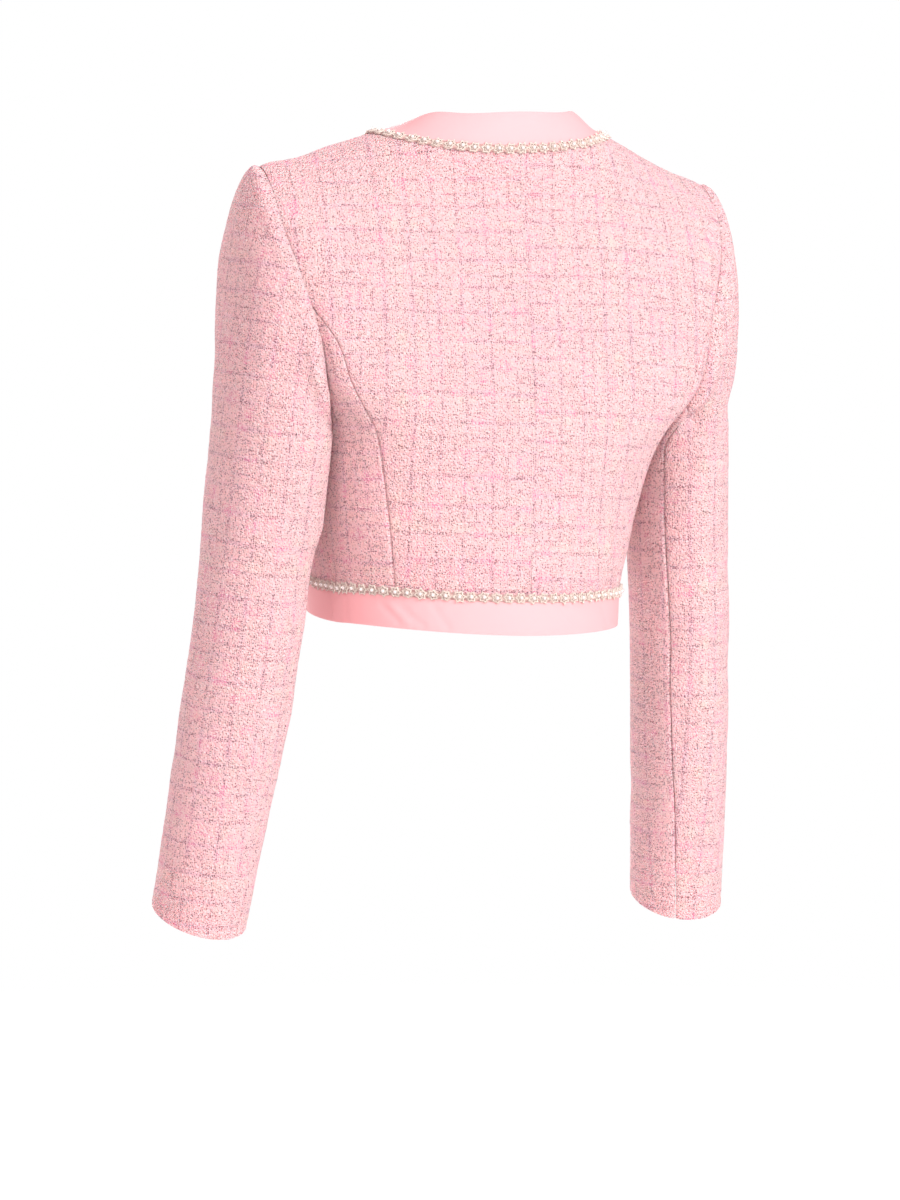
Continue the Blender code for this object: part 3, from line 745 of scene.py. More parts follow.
def new_piece(name, points, faces, material, flat=None):
    """A mesh object with smooth faces. flat holds each point's place on the cloth."""
    data = bpy.data.meshes.new(name)
    data.from_pydata(points.tolist(), [], faces)
    data.shade_smooth()
    if flat is not None:
        corners = np.empty(len(data.loops), np.int32)
        data.loops.foreach_get("vertex_index", corners)
        layer = data.uv_layers.new(name="cloth")
        layer.data.foreach_set("uv", flat[corners].astype(np.float32).ravel())
    data.materials.append(material)
    piece = bpy.data.objects.new(name, data)
    bpy.context.scene.collection.objects.link(piece)
    return piece


def shell(name, outer, inner, normals, material, flat):
    """A closed shell between two grids of points."""
    high, wide = outer.shape[:2]
    count = high * wide
    number = np.arange(count).reshape(high, wide)
    front = quads(high, wide)
    back = front[:, ::-1] + count
    rim = np.concatenate([number[0, :-1], number[:-1, -1], number[-1, :0:-1], number[:0:-1, 0]])
    after = np.roll(rim, -1)
    edge = joined(after, rim, rim + count, after + count)
    faces = np.concatenate([front, back, edge])
    middle = number[high // 2, wide // 2]
    face = front[(high // 2) * (wide - 1) + wide // 2]
    points = outer.reshape(-1, 3)
    facing = np.cross(points[face[2]] - points[face[0]], points[face[3]] - points[face[1]])
    if facing @ normals.reshape(-1, 3)[middle] < 0:
        faces = faces[:, ::-1]
    both = np.concatenate([points, inner.reshape(-1, 3)])
    return new_piece(name, both, faces.tolist(), material, np.concatenate([flat.reshape(-1, 2)] * 2))


def seam_turn(points, seams):
    """How far the cloth turns down at its seams. seams holds the kind of each sewn edge of the grid."""
    across, down = run_along(points, 1), run_along(points, 0)
    away = {"first": across, "last": across[:, -1:] - across, "top": down}
    lift = np.zeros(points.shape[:2])
    for edge, kind in seams.items():
        wide, deep = (np.asarray(x, float).reshape(-1, 1) for x in kind[:2])
        lift = np.minimum(lift, -deep * np.clip(1 - away[edge] / wide, 0, 1) ** 2)
    return lift


def head_roll(side, points, turn):
    """How far a sleeve rolls out beside the armhole."""
    away = run_along(points, 0)
    lift = np.zeros(turn.shape)
    for middle, spread, distance, half_width, rise in HEAD_ROLLS[side]:
        apart = (turn - middle + 180) % 360 - 180
        beyond = (away - distance) / np.where(away < distance, half_width, 2 * half_width)
        lift += rise * np.exp(-((apart / spread) ** 2)) * np.exp(-(beyond**2))
    return lift


def armhole_pull(side, points, wide):
    """How far each point is drawn in with the back of the armhole, as vectors."""
    turns = np.arange(181.0)
    curve, normals = body_surface(side, *armhole_turns(turns))
    table = np.array(ARMHOLE_PULLS_CM[side])
    inward = -np.interp(turns, table[:, 0], table[:, 1])[:, None] * normals
    aside = np.interp(turns, table[:, 0], table[:, 2])[:, None] * np.array(ASIDE) * [side, 1, 1]
    apart = np.linalg.norm(points[..., None, :] - curve, axis=-1)
    fading = np.exp(-((apart.min(axis=-1) / wide) ** PULL_FADE))
    return ((inward + aside) * CM)[apart.argmin(axis=-1)] * fading[..., None]


def lumps(laid, pitch, seed):
    """Soft random lumps of about unit height at places on the cloth, from a fixed seed."""
    table = np.random.default_rng(seed).standard_normal((LUMP_TABLE, LUMP_TABLE))
    place = laid / pitch + LUMP_TABLE / 4
    low = np.floor(place).astype(int)
    share = eased(place - low)
    x, y = np.moveaxis(low % (LUMP_TABLE - 1), -1, 0)
    top = table[x, y] * (1 - share[..., 0]) + table[x + 1, y] * share[..., 0]
    bottom = table[x, y + 1] * (1 - share[..., 0]) + table[x + 1, y + 1] * share[..., 0]
    return top * (1 - share[..., 1]) + bottom * share[..., 1]


def cloth_piece(node, surface, cloth, lift, crease, grain, offset, seed=None, keep=()):
    """A cloth shell that stands for a solid. surface is its points and normals, and cloth its thickness,
    material and slot, of which the slot is not used. lift shapes the outside alone, crease the whole cloth,
    and offset moves the pattern. A grain of None is a straight strip, and a seed makes the cloth uneven."""
    points, normals = surface
    thick, material, slot = cloth
    laid, size, area = strip_pattern(points) if grain is None else flat_pattern(points, grain, keep)
    if seed is not None:
        crease = crease + DENT_RISE * lumps(laid, DENT_PITCH, seed)
        lift = lift + NUB_RISE * lumps(laid, NUB_PITCH, seed + NUB_SEED)
    shaped = points + normals * crease[..., None]
    outer = posed(shaped + normals * lift[..., None])
    inner = posed(shaped - normals * thick)
    piece = shell(node + "_cloth", outer, inner, normals, material, laid + np.array(offset))
    piece.data.set_sharp_from_angle(angle=SHARP_EDGE)
    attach(piece, "root")
    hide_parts(node)
    return piece


# ---------------------------------------------------------------- materials


class Graph:
    """A node tree, with short ways to add to it. Inputs are values or the sockets of other nodes."""

    def __init__(self, tree):
        self.tree = tree

    def link(self, value, target):
        self.tree.links.new(value, target)

    def put(self, kind, inputs=None, **settings):
        """The outputs of a node with its settings, and its inputs set or linked."""
        made = self.tree.nodes.new(kind)
        for name, value in settings.items():
            setattr(made, name, value)
        for key, value in (inputs or {}).items():
            if isinstance(value, bpy.types.NodeSocket):
                self.link(value, made.inputs[key])
            else:
                made.inputs[key].default_value = value
        return made.outputs

    def placed(self, group, **inputs):
        """The outputs of a node group put in the tree."""
        return self.put("ShaderNodeGroup", inputs, node_tree=group)

    def cloth_place(self):
        return self.put("ShaderNodeUVMap", uv_map="cloth")[0]

    def object_place(self):
        return self.put("ShaderNodeTexCoord")["Object"]

    def parts(self, vector):
        return self.put("ShaderNodeSeparateXYZ", {0: vector})

    def maths(self, operation, *values):
        return self.put("ShaderNodeMath", dict(enumerate(values)), operation=operation)[0]

    def times(self, first, second):
        return self.maths("MULTIPLY", first, second)

    def times_plus(self, first, second, third):
        return self.maths("MULTIPLY_ADD", first, second, third)

    def most(self, first, second):
        return self.maths("MAXIMUM", first, second)

    def shown(self, value, low, high):
        """0 at low to 1 at high."""
        return self.put("ShaderNodeMapRange", {"Value": value, "From Min": low, "From Max": high})["Result"]

    def noise(self, place, scale, detail=2.0):
        inputs = {"Vector": place, "Scale": scale, "Detail": detail}
        return self.put("ShaderNodeTexNoise", inputs)["Fac"]

    def line_noise(self, place, scale, detail=1.0):
        """Noise along one number."""
        inputs = {"W": place, "Scale": scale, "Detail": detail}
        return self.put("ShaderNodeTexNoise", inputs, noise_dimensions="1D")["Fac"]

    def stretches(self, place, scale, detail, low, high):
        """Stretches of a line, from noise: 0 at low to 1 at high."""
        return self.shown(self.line_noise(place, scale, detail), low, high)

    def ramp(self, factor, stops, interpolation="LINEAR"):
        """A ramp of greys. Each stop is a place and a value."""
        made = self.tree.nodes.new("ShaderNodeValToRGB")
        self.link(factor, made.inputs["Fac"])
        band = made.color_ramp
        band.interpolation = interpolation
        while len(band.elements) < len(stops):
            band.elements.new(0.5)
        for element, (place, value) in zip(band.elements, stops):
            element.position = place
            element.color = (value, value, value, 1)
        return made.outputs["Color"]

    def blended(self, factor, first, second):
        """Two colours mixed by a factor."""
        inputs = {0: factor, 6: first, 7: second}
        inputs = {key: (*value, 1) if isinstance(value, tuple) else value for key, value in inputs.items()}
        return self.put("ShaderNodeMix", inputs, data_type="RGBA")[2]


def effect(name, takes, gives):
    """A node group of values. takes holds its inputs and what they are at first, and gives names its
    outputs. Returns its graph, what it is given and its result."""
    tree = bpy.data.node_groups.new(name, "ShaderNodeTree")
    for label, value in takes.items():
        kind = "NodeSocketVector" if isinstance(value, tuple) else "NodeSocketFloat"
        tree.interface.new_socket(name=label, in_out="INPUT", socket_type=kind).default_value = value
    for label in gives:
        tree.interface.new_socket(name=label, in_out="OUTPUT", socket_type="NodeSocketFloat")
    return Graph(tree), tree.nodes.new("NodeGroupInput").outputs, tree.nodes.new("NodeGroupOutput").inputs


YARN_WANDER = 0.45
YARN_STRAY = (0.9, 0.9, 0.0)
FLUFF_SCALE = 2.4
FLUFF_SHARE = 0.5
# painted shade: yarn heights at which the hollows' painted shade is none and whole
HOLLOW_SHADE_RANGE = (0.86, 0.56)
PICKED_RANGE = (0.0, -0.12)
SPOT_RANGE = (0.39, 0.17)


def yarn_effect():
    """Lumps of looped yarn: their height, painted shade for the hollows between them, and the ones picked by
    a share.
    """
    takes = {"Place": (0.0, 0.0, 0.0), "Loops": 500.0, "Order": 0.6, "Picked": 0.5}
    graph, given, result = effect("looped_yarn", takes, ("Height", "Hollow_Shade", "Spot"))
    scaled = {0: given["Place"], "Scale": given["Loops"]}
    scaled = graph.put("ShaderNodeVectorMath", scaled, operation="SCALE")[0]
    wander = {"Vector": scaled, "Scale": YARN_WANDER, "Detail": 1.0}
    wander = graph.put("ShaderNodeTexNoise", wander)["Color"]
    strayed = {0: wander, 1: YARN_STRAY, 2: scaled}
    place = graph.put("ShaderNodeVectorMath", strayed, operation="MULTIPLY_ADD")[0]
    cells = {"Vector": place, "Scale": 1.0, "Randomness": given["Order"]}
    cells = graph.put("ShaderNodeTexVoronoi", cells, voronoi_dimensions="2D")
    lump = graph.maths("SUBTRACT", 1.0, cells["Distance"])
    height = graph.times_plus(graph.noise(place, FLUFF_SCALE), FLUFF_SHARE, lump)
    graph.link(height, result["Height"])
    # painted shade: the low places between the lumps, from none to whole
    graph.link(graph.shown(height, *HOLLOW_SHADE_RANGE), result["Hollow_Shade"])
    chance = graph.parts(cells["Color"])[0]
    picked = graph.shown(graph.maths("SUBTRACT", chance, given["Picked"]), *PICKED_RANGE)
    graph.link(graph.times(picked, graph.shown(cells["Distance"], *SPOT_RANGE)), result["Spot"])
    return graph.tree


# Where the dotted lines lie in one repeat of the check: place, strength
CHECK_REPEAT_MM = 66.0
CHECK_LINES_MM = (
    (4.0, 1.0),
    (13.5, 0.4),
    (24.5, 0.8),
    (34.0, 0.6),
    (46.5, 0.95),
    (53.0, 0.35),
    (60.0, 0.5),
)
LINE_HALF_MM = 2.0
TINT_HALF_MM = 3.4
TINT_STRENGTH = 0.8
DOT_PITCH = 3.1 * MM
DOT_WANDER = (0.7, 1.8)  # how quickly the dots' pitch wanders, and how far, in dots
LINE_BENDS = 45.0  # bends of a line, a metre
LINE_BEND = 2.4 * MM
RUN_WIDTH = 11.0 * MM  # width of the cloth in which the lines break at the same places
RUN_SHIFT = 0.37
RUN_APART = 7.3
# What is seen of a line, of its dotted core and of each dot, from none to all
LINE_RANGE = (0.1, 0.6)
DOTTED_RANGE = (0.45, 0.85)
DOT_RANGE = (0.22, 0.40)
# Stretches: the noise's scale and detail, and what is seen of it, from none to all
STRONG_STRETCHES = (0.22, 2.0, 0.30, 0.62)
BRIGHT_STRETCHES = (0.11, 1.0, 0.60, 0.70)
TINT_STRETCHES = (28.0, 1.0, 0.25, 0.65)
CREAM_STRETCHES = (62.0, 1.0, 0.42, 0.70)


def line_stops(half, share):
    """Ramp stops of the check's lines over one repeat."""
    stops = [(0.0, 0.0)]
    for place, strength in CHECK_LINES_MM:
        for shift, value in ((-half, 0.0), (0.0, share * strength), (half, 0.0)):
            at = (place + shift) / CHECK_REPEAT_MM
            stops.append((min(max(at, 0.0), 1.0), value))
    return stops


def stripes_effect():
    """One way of the check: broken lines of specks with a tint around them."""
    gives = ("Line", "Dots", "Tint", "Cream", "Bright")
    graph, given, result = effect("broken_lines", {"Across": 0.0, "Along": 0.0}, gives)
    across, along = given["Across"], given["Along"]
    bend = graph.maths("SUBTRACT", graph.line_noise(along, LINE_BENDS), 0.5)
    moved = graph.times_plus(bend, LINE_BEND, across)
    share = graph.maths("FRACT", graph.times(moved, 1 / (CHECK_REPEAT_MM * MM)))
    thin = graph.ramp(share, line_stops(LINE_HALF_MM, 1.0))
    wide = graph.ramp(share, line_stops(TINT_HALF_MM, TINT_STRENGTH), "B_SPLINE")
    which = graph.maths("FLOOR", graph.times(moved, 1 / RUN_WIDTH))
    shifted = graph.times_plus(which, RUN_SHIFT, graph.times(along, 1 / DOT_PITCH))
    quickly, far = DOT_WANDER
    beat = graph.maths("FRACT", graph.times_plus(graph.line_noise(shifted, quickly), far, shifted))
    dot = graph.shown(graph.maths("PINGPONG", beat, 0.5), *DOT_RANGE)
    run = graph.times_plus(which, RUN_APART, shifted)
    strong = graph.stretches(run, *STRONG_STRETCHES)
    dotted = graph.times(graph.shown(thin, *DOTTED_RANGE), dot)
    graph.link(graph.times(graph.shown(thin, *LINE_RANGE), strong), result["Line"])
    graph.link(graph.times(dotted, strong), result["Dots"])
    graph.link(graph.times(wide, graph.stretches(along, *TINT_STRETCHES)), result["Tint"])
    graph.link(graph.stretches(run, *BRIGHT_STRETCHES), result["Bright"])
    graph.link(graph.stretches(across, *CREAM_STRETCHES), result["Cream"])
    return graph.tree


def new_material(name):
    material = bpy.data.materials.new(name)
    material.use_nodes = True
    graph = Graph(material.node_tree)
    return material, graph, graph.tree.nodes["Principled BSDF"]


def finished(graph, shader, colour, looks, height=None, relief=None):
    """Gives a shader its colour, its plain settings and a relief, which is a distance and a strength."""
    graph.link(colour, shader.inputs["Base Color"])
    if relief is not None:
        distance, strength = relief
        bump = graph.put("ShaderNodeBump", {"Height": height, "Distance": distance, "Strength": strength})
        graph.link(bump[0], shader.inputs["Normal"])
    for name, value in looks.items():
        shader.inputs[name].default_value = value


PINK = (0.90, 0.58, 0.58)
PALE_NUB = (0.93, 0.78, 0.79)
CREAM = (0.91, 0.69, 0.60)
LINE_PINK = (0.72, 0.43, 0.585)
SPECK = (0.12, 0.035, 0.05)
RASPBERRY = (0.66, 0.10, 0.28)
# Loops: loops a metre, how far out of order, share picked as spots, further share picked on the lines
FINE_LOOPS = (650.0, 0.8, 0.38, 0.42)
COARSE_LOOPS = (450.0, 0.5, 0.08, 0.46)
NUB_LOOPS = (540.0, 0.95, 0.3, None)
# How strongly each part of the pattern shows
CREAM_SHARE = 0.55
TINT_SHARE = 0.74
NUB_SHARE = 0.6
FINE_SHARE = 0.84
FINE_MORE_ON_LINES = 0.02
COARSE_SHARE = 0.76
DOTS_SHARE = 0.30
FINE_RELIEF = 0.35
TWEED_RELIEF = (2.5 * MM, 1.0)
TWEED_LOOKS = {
    "Roughness": 0.92,
    "Subsurface Weight": 0.40,
    "Subsurface Radius": (1.0, 0.3, 0.32),
    "Subsurface Scale": 4.0 * MM,
    "Sheen Weight": 0.06,
    "Sheen Roughness": 0.5,
    "Specular IOR Level": 0.15,
}


def tweed_material(yarn, stripes):
    """Looped pink yarn with a broken check of dark specks, its lines tinted, and patches of cream."""
    material, graph, shader = new_material("pink_tweed_looks")
    place = graph.cloth_place()
    x, y, _ = graph.parts(place)
    warp = graph.placed(stripes, Across=x, Along=y)
    weft = graph.placed(stripes, Across=y, Along=x)
    kinds = ("Line", "Dots", "Tint", "Bright")
    line, dots, tint, bright = (graph.most(warp[kind], weft[kind]) for kind in kinds)

    def loops(per_metre, order, picked, more):
        if more is not None:
            picked = graph.times_plus(line, more, picked)
        return graph.placed(yarn, Place=place, Loops=per_metre, Order=order, Picked=picked)

    fine, coarse, nubs = loops(*FINE_LOOPS), loops(*COARSE_LOOPS), loops(*NUB_LOOPS)
    cream = graph.times(warp["Cream"], weft["Cream"])
    colour = graph.blended(graph.times(cream, CREAM_SHARE), PINK, CREAM)
    colour = graph.blended(graph.times(tint, TINT_SHARE), colour, LINE_PINK)
    colour = graph.blended(graph.times(nubs["Spot"], NUB_SHARE), colour, PALE_NUB)
    fine_spots = graph.times(fine["Spot"], graph.times_plus(line, FINE_MORE_ON_LINES, FINE_SHARE))
    spots = graph.most(fine_spots, graph.times(coarse["Spot"], COARSE_SHARE))
    spots = graph.most(spots, graph.times(dots, DOTS_SHARE))
    colour = graph.blended(spots, colour, graph.blended(bright, SPECK, RASPBERRY))
    height = graph.times_plus(fine["Height"], FINE_RELIEF, nubs["Height"])
    finished(graph, shader, colour, TWEED_LOOKS, height, TWEED_RELIEF)
    return material


BAND_THREADS = ((0.73, 0.375, 0.385), (0.75, 0.395, 0.405))
BAND_PATCH = (0.72, 0.36, 0.385)
BAND_PATCH_SHARE = 0.3
BAND_PATCH_HEIGHT = 4.0
BAND_THREADS_A_METRE = (2600.0, 500.0)  # across the threads, along them
BAND_PATCHES_A_METRE = 40.0
BAND_RELIEF = (0.1 * MM, 0.5)
BAND_LOOKS = {"Roughness": 0.6, "Sheen Weight": 0.05, "Specular IOR Level": 0.15}


def band_material():
    """Smooth pink cloth with faint upright threads."""
    material, graph, shader = new_material("pink_band_looks")
    place = graph.cloth_place()
    x, y, _ = graph.parts(place)
    across, along = BAND_THREADS_A_METRE
    run = graph.put("ShaderNodeCombineXYZ", {0: graph.times(x, across), 1: graph.times(y, along)})[0]
    threads = graph.noise(run, 1.0)
    soft = graph.noise(place, BAND_PATCHES_A_METRE)
    colour = graph.blended(threads, *BAND_THREADS)
    colour = graph.blended(graph.times(soft, BAND_PATCH_SHARE), colour, BAND_PATCH)
    height = graph.times_plus(soft, BAND_PATCH_HEIGHT, threads)
    finished(graph, shader, colour, BAND_LOOKS, height, BAND_RELIEF)
    return material


CROCHET = (0.72, 0.63, 0.55)
CROCHET_PALE = (0.82, 0.75, 0.67)
# painted shade colour, mixed into the yarn's hollows and over the tape
CROCHET_SHADE = (0.34, 0.17, 0.16)
CROCHET_LOOPS = {"Loops": 1300.0, "Order": 0.8, "Picked": 0.5}
CROCHET_PATCHES_A_METRE = 600.0
# how much painted shade goes into the yarn's hollows
CROCHET_HOLLOW_SHADE_SHARE = 0.35
CROCHET_RELIEF = (0.35 * MM, 0.8)
CROCHET_LOOKS = {"Roughness": 0.8, "Sheen Weight": 0.2}
# The tape's painted shade: where it shows between two flowers and beside the seam, and how dark it is in
# these gaps and over the whole tape
GAP_SHADE_BETWEEN = (0.20, 0.08)
GAP_SHADE_BESIDE = (0.6 * MM, 1.6 * MM)
GAP_SHADE = 0.45
TAPE_SHADE = 0.4


def crochet_material(yarn, is_tape):
    """Cream yarn, with painted shade in the hollows between its loops. On the tape, painted shade darkens
    the whole tape, and more so in small gaps between the flowers.
    """
    material, graph, shader = new_material("cream_crochet_tape_looks" if is_tape else "cream_crochet_looks")
    place = graph.object_place()
    loops = graph.placed(yarn, Place=place, **CROCHET_LOOPS)
    colour = graph.blended(graph.noise(place, CROCHET_PATCHES_A_METRE), CROCHET, CROCHET_PALE)
    # painted shade in the hollows between the loops
    colour = graph.blended(graph.times(loops["Hollow_Shade"], CROCHET_HOLLOW_SHADE_SHARE), colour, CROCHET_SHADE)
    if is_tape:
        along, across, _ = graph.parts(graph.cloth_place())
        between = graph.maths("PINGPONG", graph.times(along, 1 / MOTIF_PITCH), 0.5)
        beside = graph.shown(graph.maths("ABSOLUTE", across), *GAP_SHADE_BESIDE)
        # painted shade: the whole tape darkened, and more so between the flowers and away from the seam's
        # middle
        painted_gap_shade = graph.times(graph.shown(between, *GAP_SHADE_BETWEEN), beside)
        colour = graph.blended(graph.times_plus(painted_gap_shade, GAP_SHADE, TAPE_SHADE), colour, CROCHET_SHADE)
    finished(graph, shader, colour, CROCHET_LOOKS, loops["Height"], CROCHET_RELIEF)
    return material


PEARL = (0.66, 0.62, 0.59)
# painted shade: the dark grey that the pearl's edge turns to where it faces away from view
PEARL_RIM_SHADE = (0.17, 0.14, 0.14)
PEARL_BLEND = 0.45
PEARL_RIM_SHADE_RANGE = (0.35, 0.80)
PEARL_LOOKS = {"Roughness": 0.25, "Coat Weight": 0.8, "Coat Roughness": 0.06, "Specular IOR Level": 0.6}


def pearl_material():
    material, graph, shader = new_material("pearl_looks")
    # painted shade at the pearl's rim, by how far its surface faces away from view
    rim = graph.shown(graph.put("ShaderNodeLayerWeight", {"Blend": PEARL_BLEND})["Facing"], *PEARL_RIM_SHADE_RANGE)
    finished(graph, shader, graph.blended(rim, PEARL, PEARL_RIM_SHADE), PEARL_LOOKS)
    return material


yarn = yarn_effect()
# Kinds of cloth: thickness, material, slot
TWEED = (TWEED_THICK, tweed_material(yarn, stripes_effect()), "pink_tweed")
BAND_CLOTH = (BAND_THICK, band_material(), "pink_band_cloth")
crochet = crochet_material(yarn, False)
crochet_tape = crochet_material(yarn, True)
pearl = pearl_material()

# ---------------------------------------------------------------- tweed pieces

# piece, its places, share of the width on the grain, pattern offset left, right (metres)
BODY_PIECES = (
    ("back", back_places, 0.0, (0.013, 0.004), (0.041, 0.017)),
    ("side_back", side_back_places, 0.5, (0.030, 0.021), (0.052, 0.009)),
    ("front", front_places, 1.0, (0.020, 0.012), (0.047, 0.030)),
)
# piece, first and last turn, then the same
SLEEVE_PIECES = (
    ("sleeve_upper", FOREARM_SEAM, 360 + HINDARM_SEAM, 0.5, (0.009, 0.014), (0.037, 0.027)),
    ("sleeve_under", HINDARM_SEAM, FOREARM_SEAM, 0.5, (0.025, 0.006), (0.015, 0.019)),
)
SLEEVE_SEAMS = {"first": PRESSED, "last": PRESSED, "top": SUNK}
SAME_ROW = 0.001

seed = 0
for word, side in (("left", 1.0), ("right", -1.0)):
    for name, places, grain, *offsets in BODY_PIECES:
        seed += 1
        turn, down, seams = places()
        points, normals = body_surface(side, turn, down)
        crease = fold_lift(CREASES_CM, "body_" + word, points)
        points = points + armhole_pull(side, points, BODY_PULL_WIDTH)
        lift = seam_turn(points, seams)
        keep = np.flatnonzero(np.abs(down[:, 0] - SHOULDER_TIP) < SAME_ROW)
        offset = offsets[int(side < 0)]
        cloth_piece(f"{name}_{word}", (points, normals), TWEED, lift, crease, grain, offset, seed, keep)
    for name, first, last, grain, *offsets in SLEEVE_PIECES:
        seed += 1
        turn, along = sleeve_places(side, first, last)
        points, normals = sleeve_surface(side, turn, along)
        crease = fold_lift(CREASES_CM, "sleeve_" + word, points) * eased(along / FOLDS_FROM)
        crease = crease + head_roll(side, points, turn)
        points = points + armhole_pull(side, points, SLEEVE_PULL_WIDTH)
        lift = seam_turn(points, SLEEVE_SEAMS)
        offset = offsets[int(side < 0)]
        cloth_piece(f"{name}_{word}", (points, normals), TWEED, lift, crease, grain, offset, seed)

# ---------------------------------------------------------------- bands

PART_TURN = 0.05
# band, first and last turn, top and bottom, pattern offset (metres)
BANDS = (
    ("neck_band", -180, 180, 0.0, NECK_SEAM, (0, 0)),
    ("hem_band_back", -SIDE_TURN_AT_HEM, SIDE_TURN_AT_HEM, HEM_SEAM, HEM, (0, 0.1)),
    ("hem_band_front_left", SIDE_TURN_AT_HEM, 180, HEM_SEAM, HEM, (0.1, 0.2)),
    ("hem_band_front_right", -180, -SIDE_TURN_AT_HEM, HEM_SEAM, HEM, (0.2, 0.3)),
)

for node, first, last, top, bottom, offset in BANDS:
    first, last = first + PART_TURN, last - PART_TURN
    columns = round((last - first) / BAND_COLUMN_TURN)
    edge = np.array([0.0, *BAND_EDGE_ROWS])
    share = np.concatenate([edge, np.linspace(0, 1, BAND_ROWS + 1)[1:-1], 1 - edge[::-1]])
    turn, down = np.meshgrid(np.linspace(first, last, columns + 1), top + (bottom - top) * share)
    points, normals = body_round(turn, down)
    puff = BAND_PUFF * (np.sqrt(np.clip(4 * share * (1 - share), 0, 1)) - BAND_SINK)
    lift = np.broadcast_to(puff[:, None], turn.shape)
    crease = fold_lift(BAND_CREASES_CM, "band", points)
    cloth_piece(node, (points, normals), BAND_CLOTH, lift, crease, None, offset)

# ---------------------------------------------------------------- crocheted trim and pearls


def clear_picks():
    for thing in bpy.context.selected_objects:
        thing.select_set(False)


def taken_mesh():
    """The points and faces of the object just made, which is removed."""
    made = bpy.context.object
    points = np.array([v.co for v in made.data.vertices])
    faces = [list(f.vertices) for f in made.data.polygons]
    bpy.data.objects.remove(made, do_unlink=True)
    return points, faces


def yarn_ring(sides, radius, yarn_radius):
    """The points and faces of a ring of yarn lying flat. sides are its numbers of sides round and across."""
    clear_picks()
    bpy.ops.mesh.primitive_torus_add(
        major_segments=sides[0], minor_segments=sides[1], major_radius=radius, minor_radius=yarn_radius
    )
    return taken_mesh()


def pearl_ball():
    clear_picks()
    bpy.ops.mesh.primitive_uv_sphere_add(segments=PEARL_SIDES, ring_count=PEARL_RINGS, radius=PEARL_RADIUS)
    return taken_mesh()


def motif():
    """One crocheted flower, lying flat: a ring of petals, and a cup for the pearl."""
    petals, petal_faces = yarn_ring(PETAL_SIDES, PETAL_RADIUS, PETAL_YARN)
    wave = np.cos(PETALS * np.arctan2(petals[:, 1], petals[:, 0]))
    middle, rise = PETAL_HEIGHT
    petals[:, :2] *= (1 + PETAL_REACH * wave)[:, None]
    petals[:, 2] += TAPE_HIGH + PETAL_YARN * (middle + rise * wave)
    cup, cup_faces = yarn_ring(CUP_SIDES, CUP_RADIUS, CUP_YARN)
    cup[:, 2] += TAPE_HIGH + 2 * CUP_YARN
    faces = petal_faces + [[i + len(petals) for i in face] for face in cup_faces]
    return np.concatenate([petals, cup]), faces


def trim_run(seam):
    """Length along the trim's seam against turn, from the wearer's right centre front round the back."""
    guide = np.linspace(-TRIM_TURN, TRIM_TURN, TRIM_GUIDES)
    line = body_round(guide, np.full_like(guide, seam))[0]
    return guide, run_along(line[None], 1)[0]


def copied(faces, points, count):
    """The faces of a number of copies of a mesh with so many points."""
    return [[i + k * points for i in face] for k in range(count) for face in faces]


def trim_pieces(word, seam, seed):
    """The tape, the crocheted flowers and the pearls of one trim."""
    guide, run = trim_run(seam)
    count = round(run[-1] / MOTIF_PITCH)
    pitch = run[-1] / count

    def on_trim(along, across, height):
        """Points and normals of places on the trim."""
        turn = np.interp(along, run, guide)
        points, normals = body_round(turn, seam + across / CM)
        return posed(points + normals * height[..., None]), normals

    along = np.linspace(0, run[-1], count * TAPE_STEPS + 1)[None, :]
    half = TRIM_HALF_WIDTH - SCALLOP_DEPTH * (0.5 + 0.5 * np.cos(2 * np.pi * along / pitch))
    share = np.linspace(-1, 1, TAPE_COLUMNS)[:, None]
    along, across = np.broadcast_arrays(along, half * share)
    outer, normals = on_trim(along, across, TAPE_HIGH - TAPE_ROUND * share**4 + 0 * along)
    inner, _ = on_trim(along, across, TAPE_LOW + 0 * along)
    on_tape = joined(along * MOTIF_PITCH / pitch, across)
    tape = shell(word + "_trim_tape", outer, inner, normals, crochet_tape, on_tape)
    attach(tape, "root")
    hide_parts(word + "_trim")
    chance = np.random.default_rng(seed)
    middle = (np.arange(count) + 0.5) * pitch + chance.normal(0, MOTIF_STRAY, count)
    aside = chance.normal(0, MOTIF_STRAY, count)
    flower, flower_faces = motif()
    ball, ball_faces = pearl_ball()
    spin = chance.uniform(0, 2 * np.pi, count)[:, None]
    size = chance.normal(1.0, MOTIF_SIZES, count)[:, None]
    x, y, z = flower.T
    along = middle[:, None] + size * (x * np.cos(spin) - y * np.sin(spin))
    across = aside[:, None] + size * (x * np.sin(spin) + y * np.cos(spin))
    points, _ = on_trim(along, across, z + 0 * along)
    faces = copied(flower_faces, len(flower), count)
    flowers = new_piece(word + "_trim_flowers", points.reshape(-1, 3), faces, crochet)
    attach(flowers, "root")
    centres, _ = on_trim(middle, aside, PEARL_HEIGHT + 0 * middle)
    points = (centres[:, None, :] + ball[None]).reshape(-1, 3)
    pearls = new_piece(word + "_pearls", points, copied(ball_faces, len(ball), count), pearl)
    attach(pearls, "root")


# trim, seam, seed
for trim in (("neck", NECK_SEAM, 101), ("hem", HEM_SEAM, 102)):
    trim_pieces(*trim)

# ---------------------------------------------------------------- floor, light and camera

FLOOR_AT = -0.95
FLOOR_RADIUS = 4.0
FLOOR_SIDES = 96
FLOOR_FADE = (2.6, 0.8)  # from where it is gone to where it is whole
FLOOR_COLOUR = (0.93, 0.92, 0.92, 1)
FLOOR_ROUGHNESS = 0.9
LIGHT_AIM = (0, 0, -0.3)
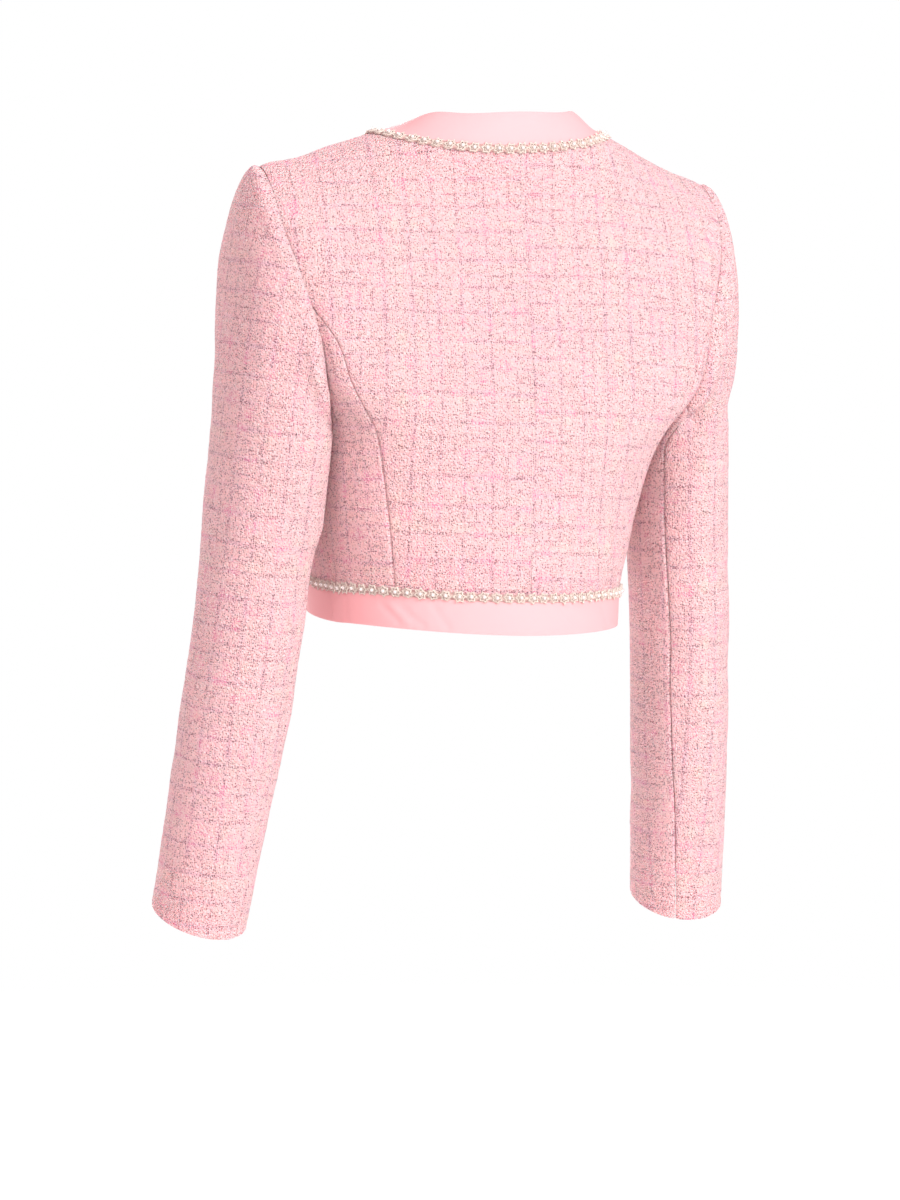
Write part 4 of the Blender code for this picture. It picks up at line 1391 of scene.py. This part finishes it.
# light, place, size, power (watts)
LIGHTS = (
    ("key_light", (-1.3, 2.95, 1.1), 1.2, 108),
    ("fill_light", (1.45, 2.85, 0.45), 0.7, 36),
    ("top_light", (2.0, 1.9, 2.4), 0.5, 30),
    ("front_light", (-0.4, -3.0, 0.8), 2.4, 125),
)
GLOW_COLOUR = (1.0, 0.735, 0.755, 1)
GLOW_STRENGTH = 0.76
CAMERA_PLACE = (1.388, 2.660, -0.370)
CAMERA_TURN = math.radians(153.0)
CAMERA_LENS = 111.6
CAMERA_SENSOR = 36.0


def pale_floor():
    clear_picks()
    bpy.ops.mesh.primitive_circle_add(
        vertices=FLOOR_SIDES, radius=FLOOR_RADIUS, fill_type="NGON", location=(0, 0, FLOOR_AT)
    )
    floor = bpy.context.object
    floor.name = "studio_floor"
    material, graph, shader = new_material("studio_floor_looks")
    shader.inputs["Base Color"].default_value = FLOOR_COLOUR
    shader.inputs["Roughness"].default_value = FLOOR_ROUGHNESS
    away = graph.put("ShaderNodeVectorMath", {0: graph.object_place()}, operation="LENGTH")["Value"]
    graph.link(graph.shown(away, *FLOOR_FADE), shader.inputs["Alpha"])
    floor.data.materials.append(material)


def put_on_stage(name, data, place, turns):
    """An object for a light or camera, at a place and turned."""
    made = bpy.data.objects.new(name, data)
    made.location = place
    made.rotation_euler = turns
    bpy.context.scene.collection.objects.link(made)
    return made


pale_floor()
for name, place, size, power in LIGHTS:
    light = bpy.data.lights.new(name, "AREA")
    light.size = size
    light.energy = power
    way = np.array(LIGHT_AIM) - np.array(place)
    yaw = math.atan2(way[1], way[0]) - math.pi / 2
    pitch = math.atan2(way[2], math.hypot(way[0], way[1])) + math.pi / 2
    put_on_stage(name, light, place, (pitch, 0, yaw))

world = bpy.data.worlds.new("studio")
bpy.context.scene.world = world
world.use_nodes = True
sky = Graph(world.node_tree)
glow = sky.tree.nodes["Background"]
glow.inputs["Color"].default_value = GLOW_COLOUR
glow.inputs["Strength"].default_value = GLOW_STRENGTH
white = sky.put("ShaderNodeBackground", {"Color": (1, 1, 1, 1), "Strength": 1.0})[0]
seen = sky.put("ShaderNodeLightPath")["Is Camera Ray"]
mixed = sky.put("ShaderNodeMixShader", {0: seen, 1: glow.outputs[0], 2: white})[0]
sky.link(mixed, sky.tree.nodes["World Output"].inputs["Surface"])

camera = bpy.data.cameras.new("studio_camera")
camera.lens = CAMERA_LENS
camera.sensor_width = CAMERA_SENSOR
viewer = put_on_stage("studio_camera", camera, CAMERA_PLACE, (math.pi / 2, 0, CAMERA_TURN))
bpy.context.scene.camera = viewer
bpy.context.scene.view_settings.view_transform = "Standard"
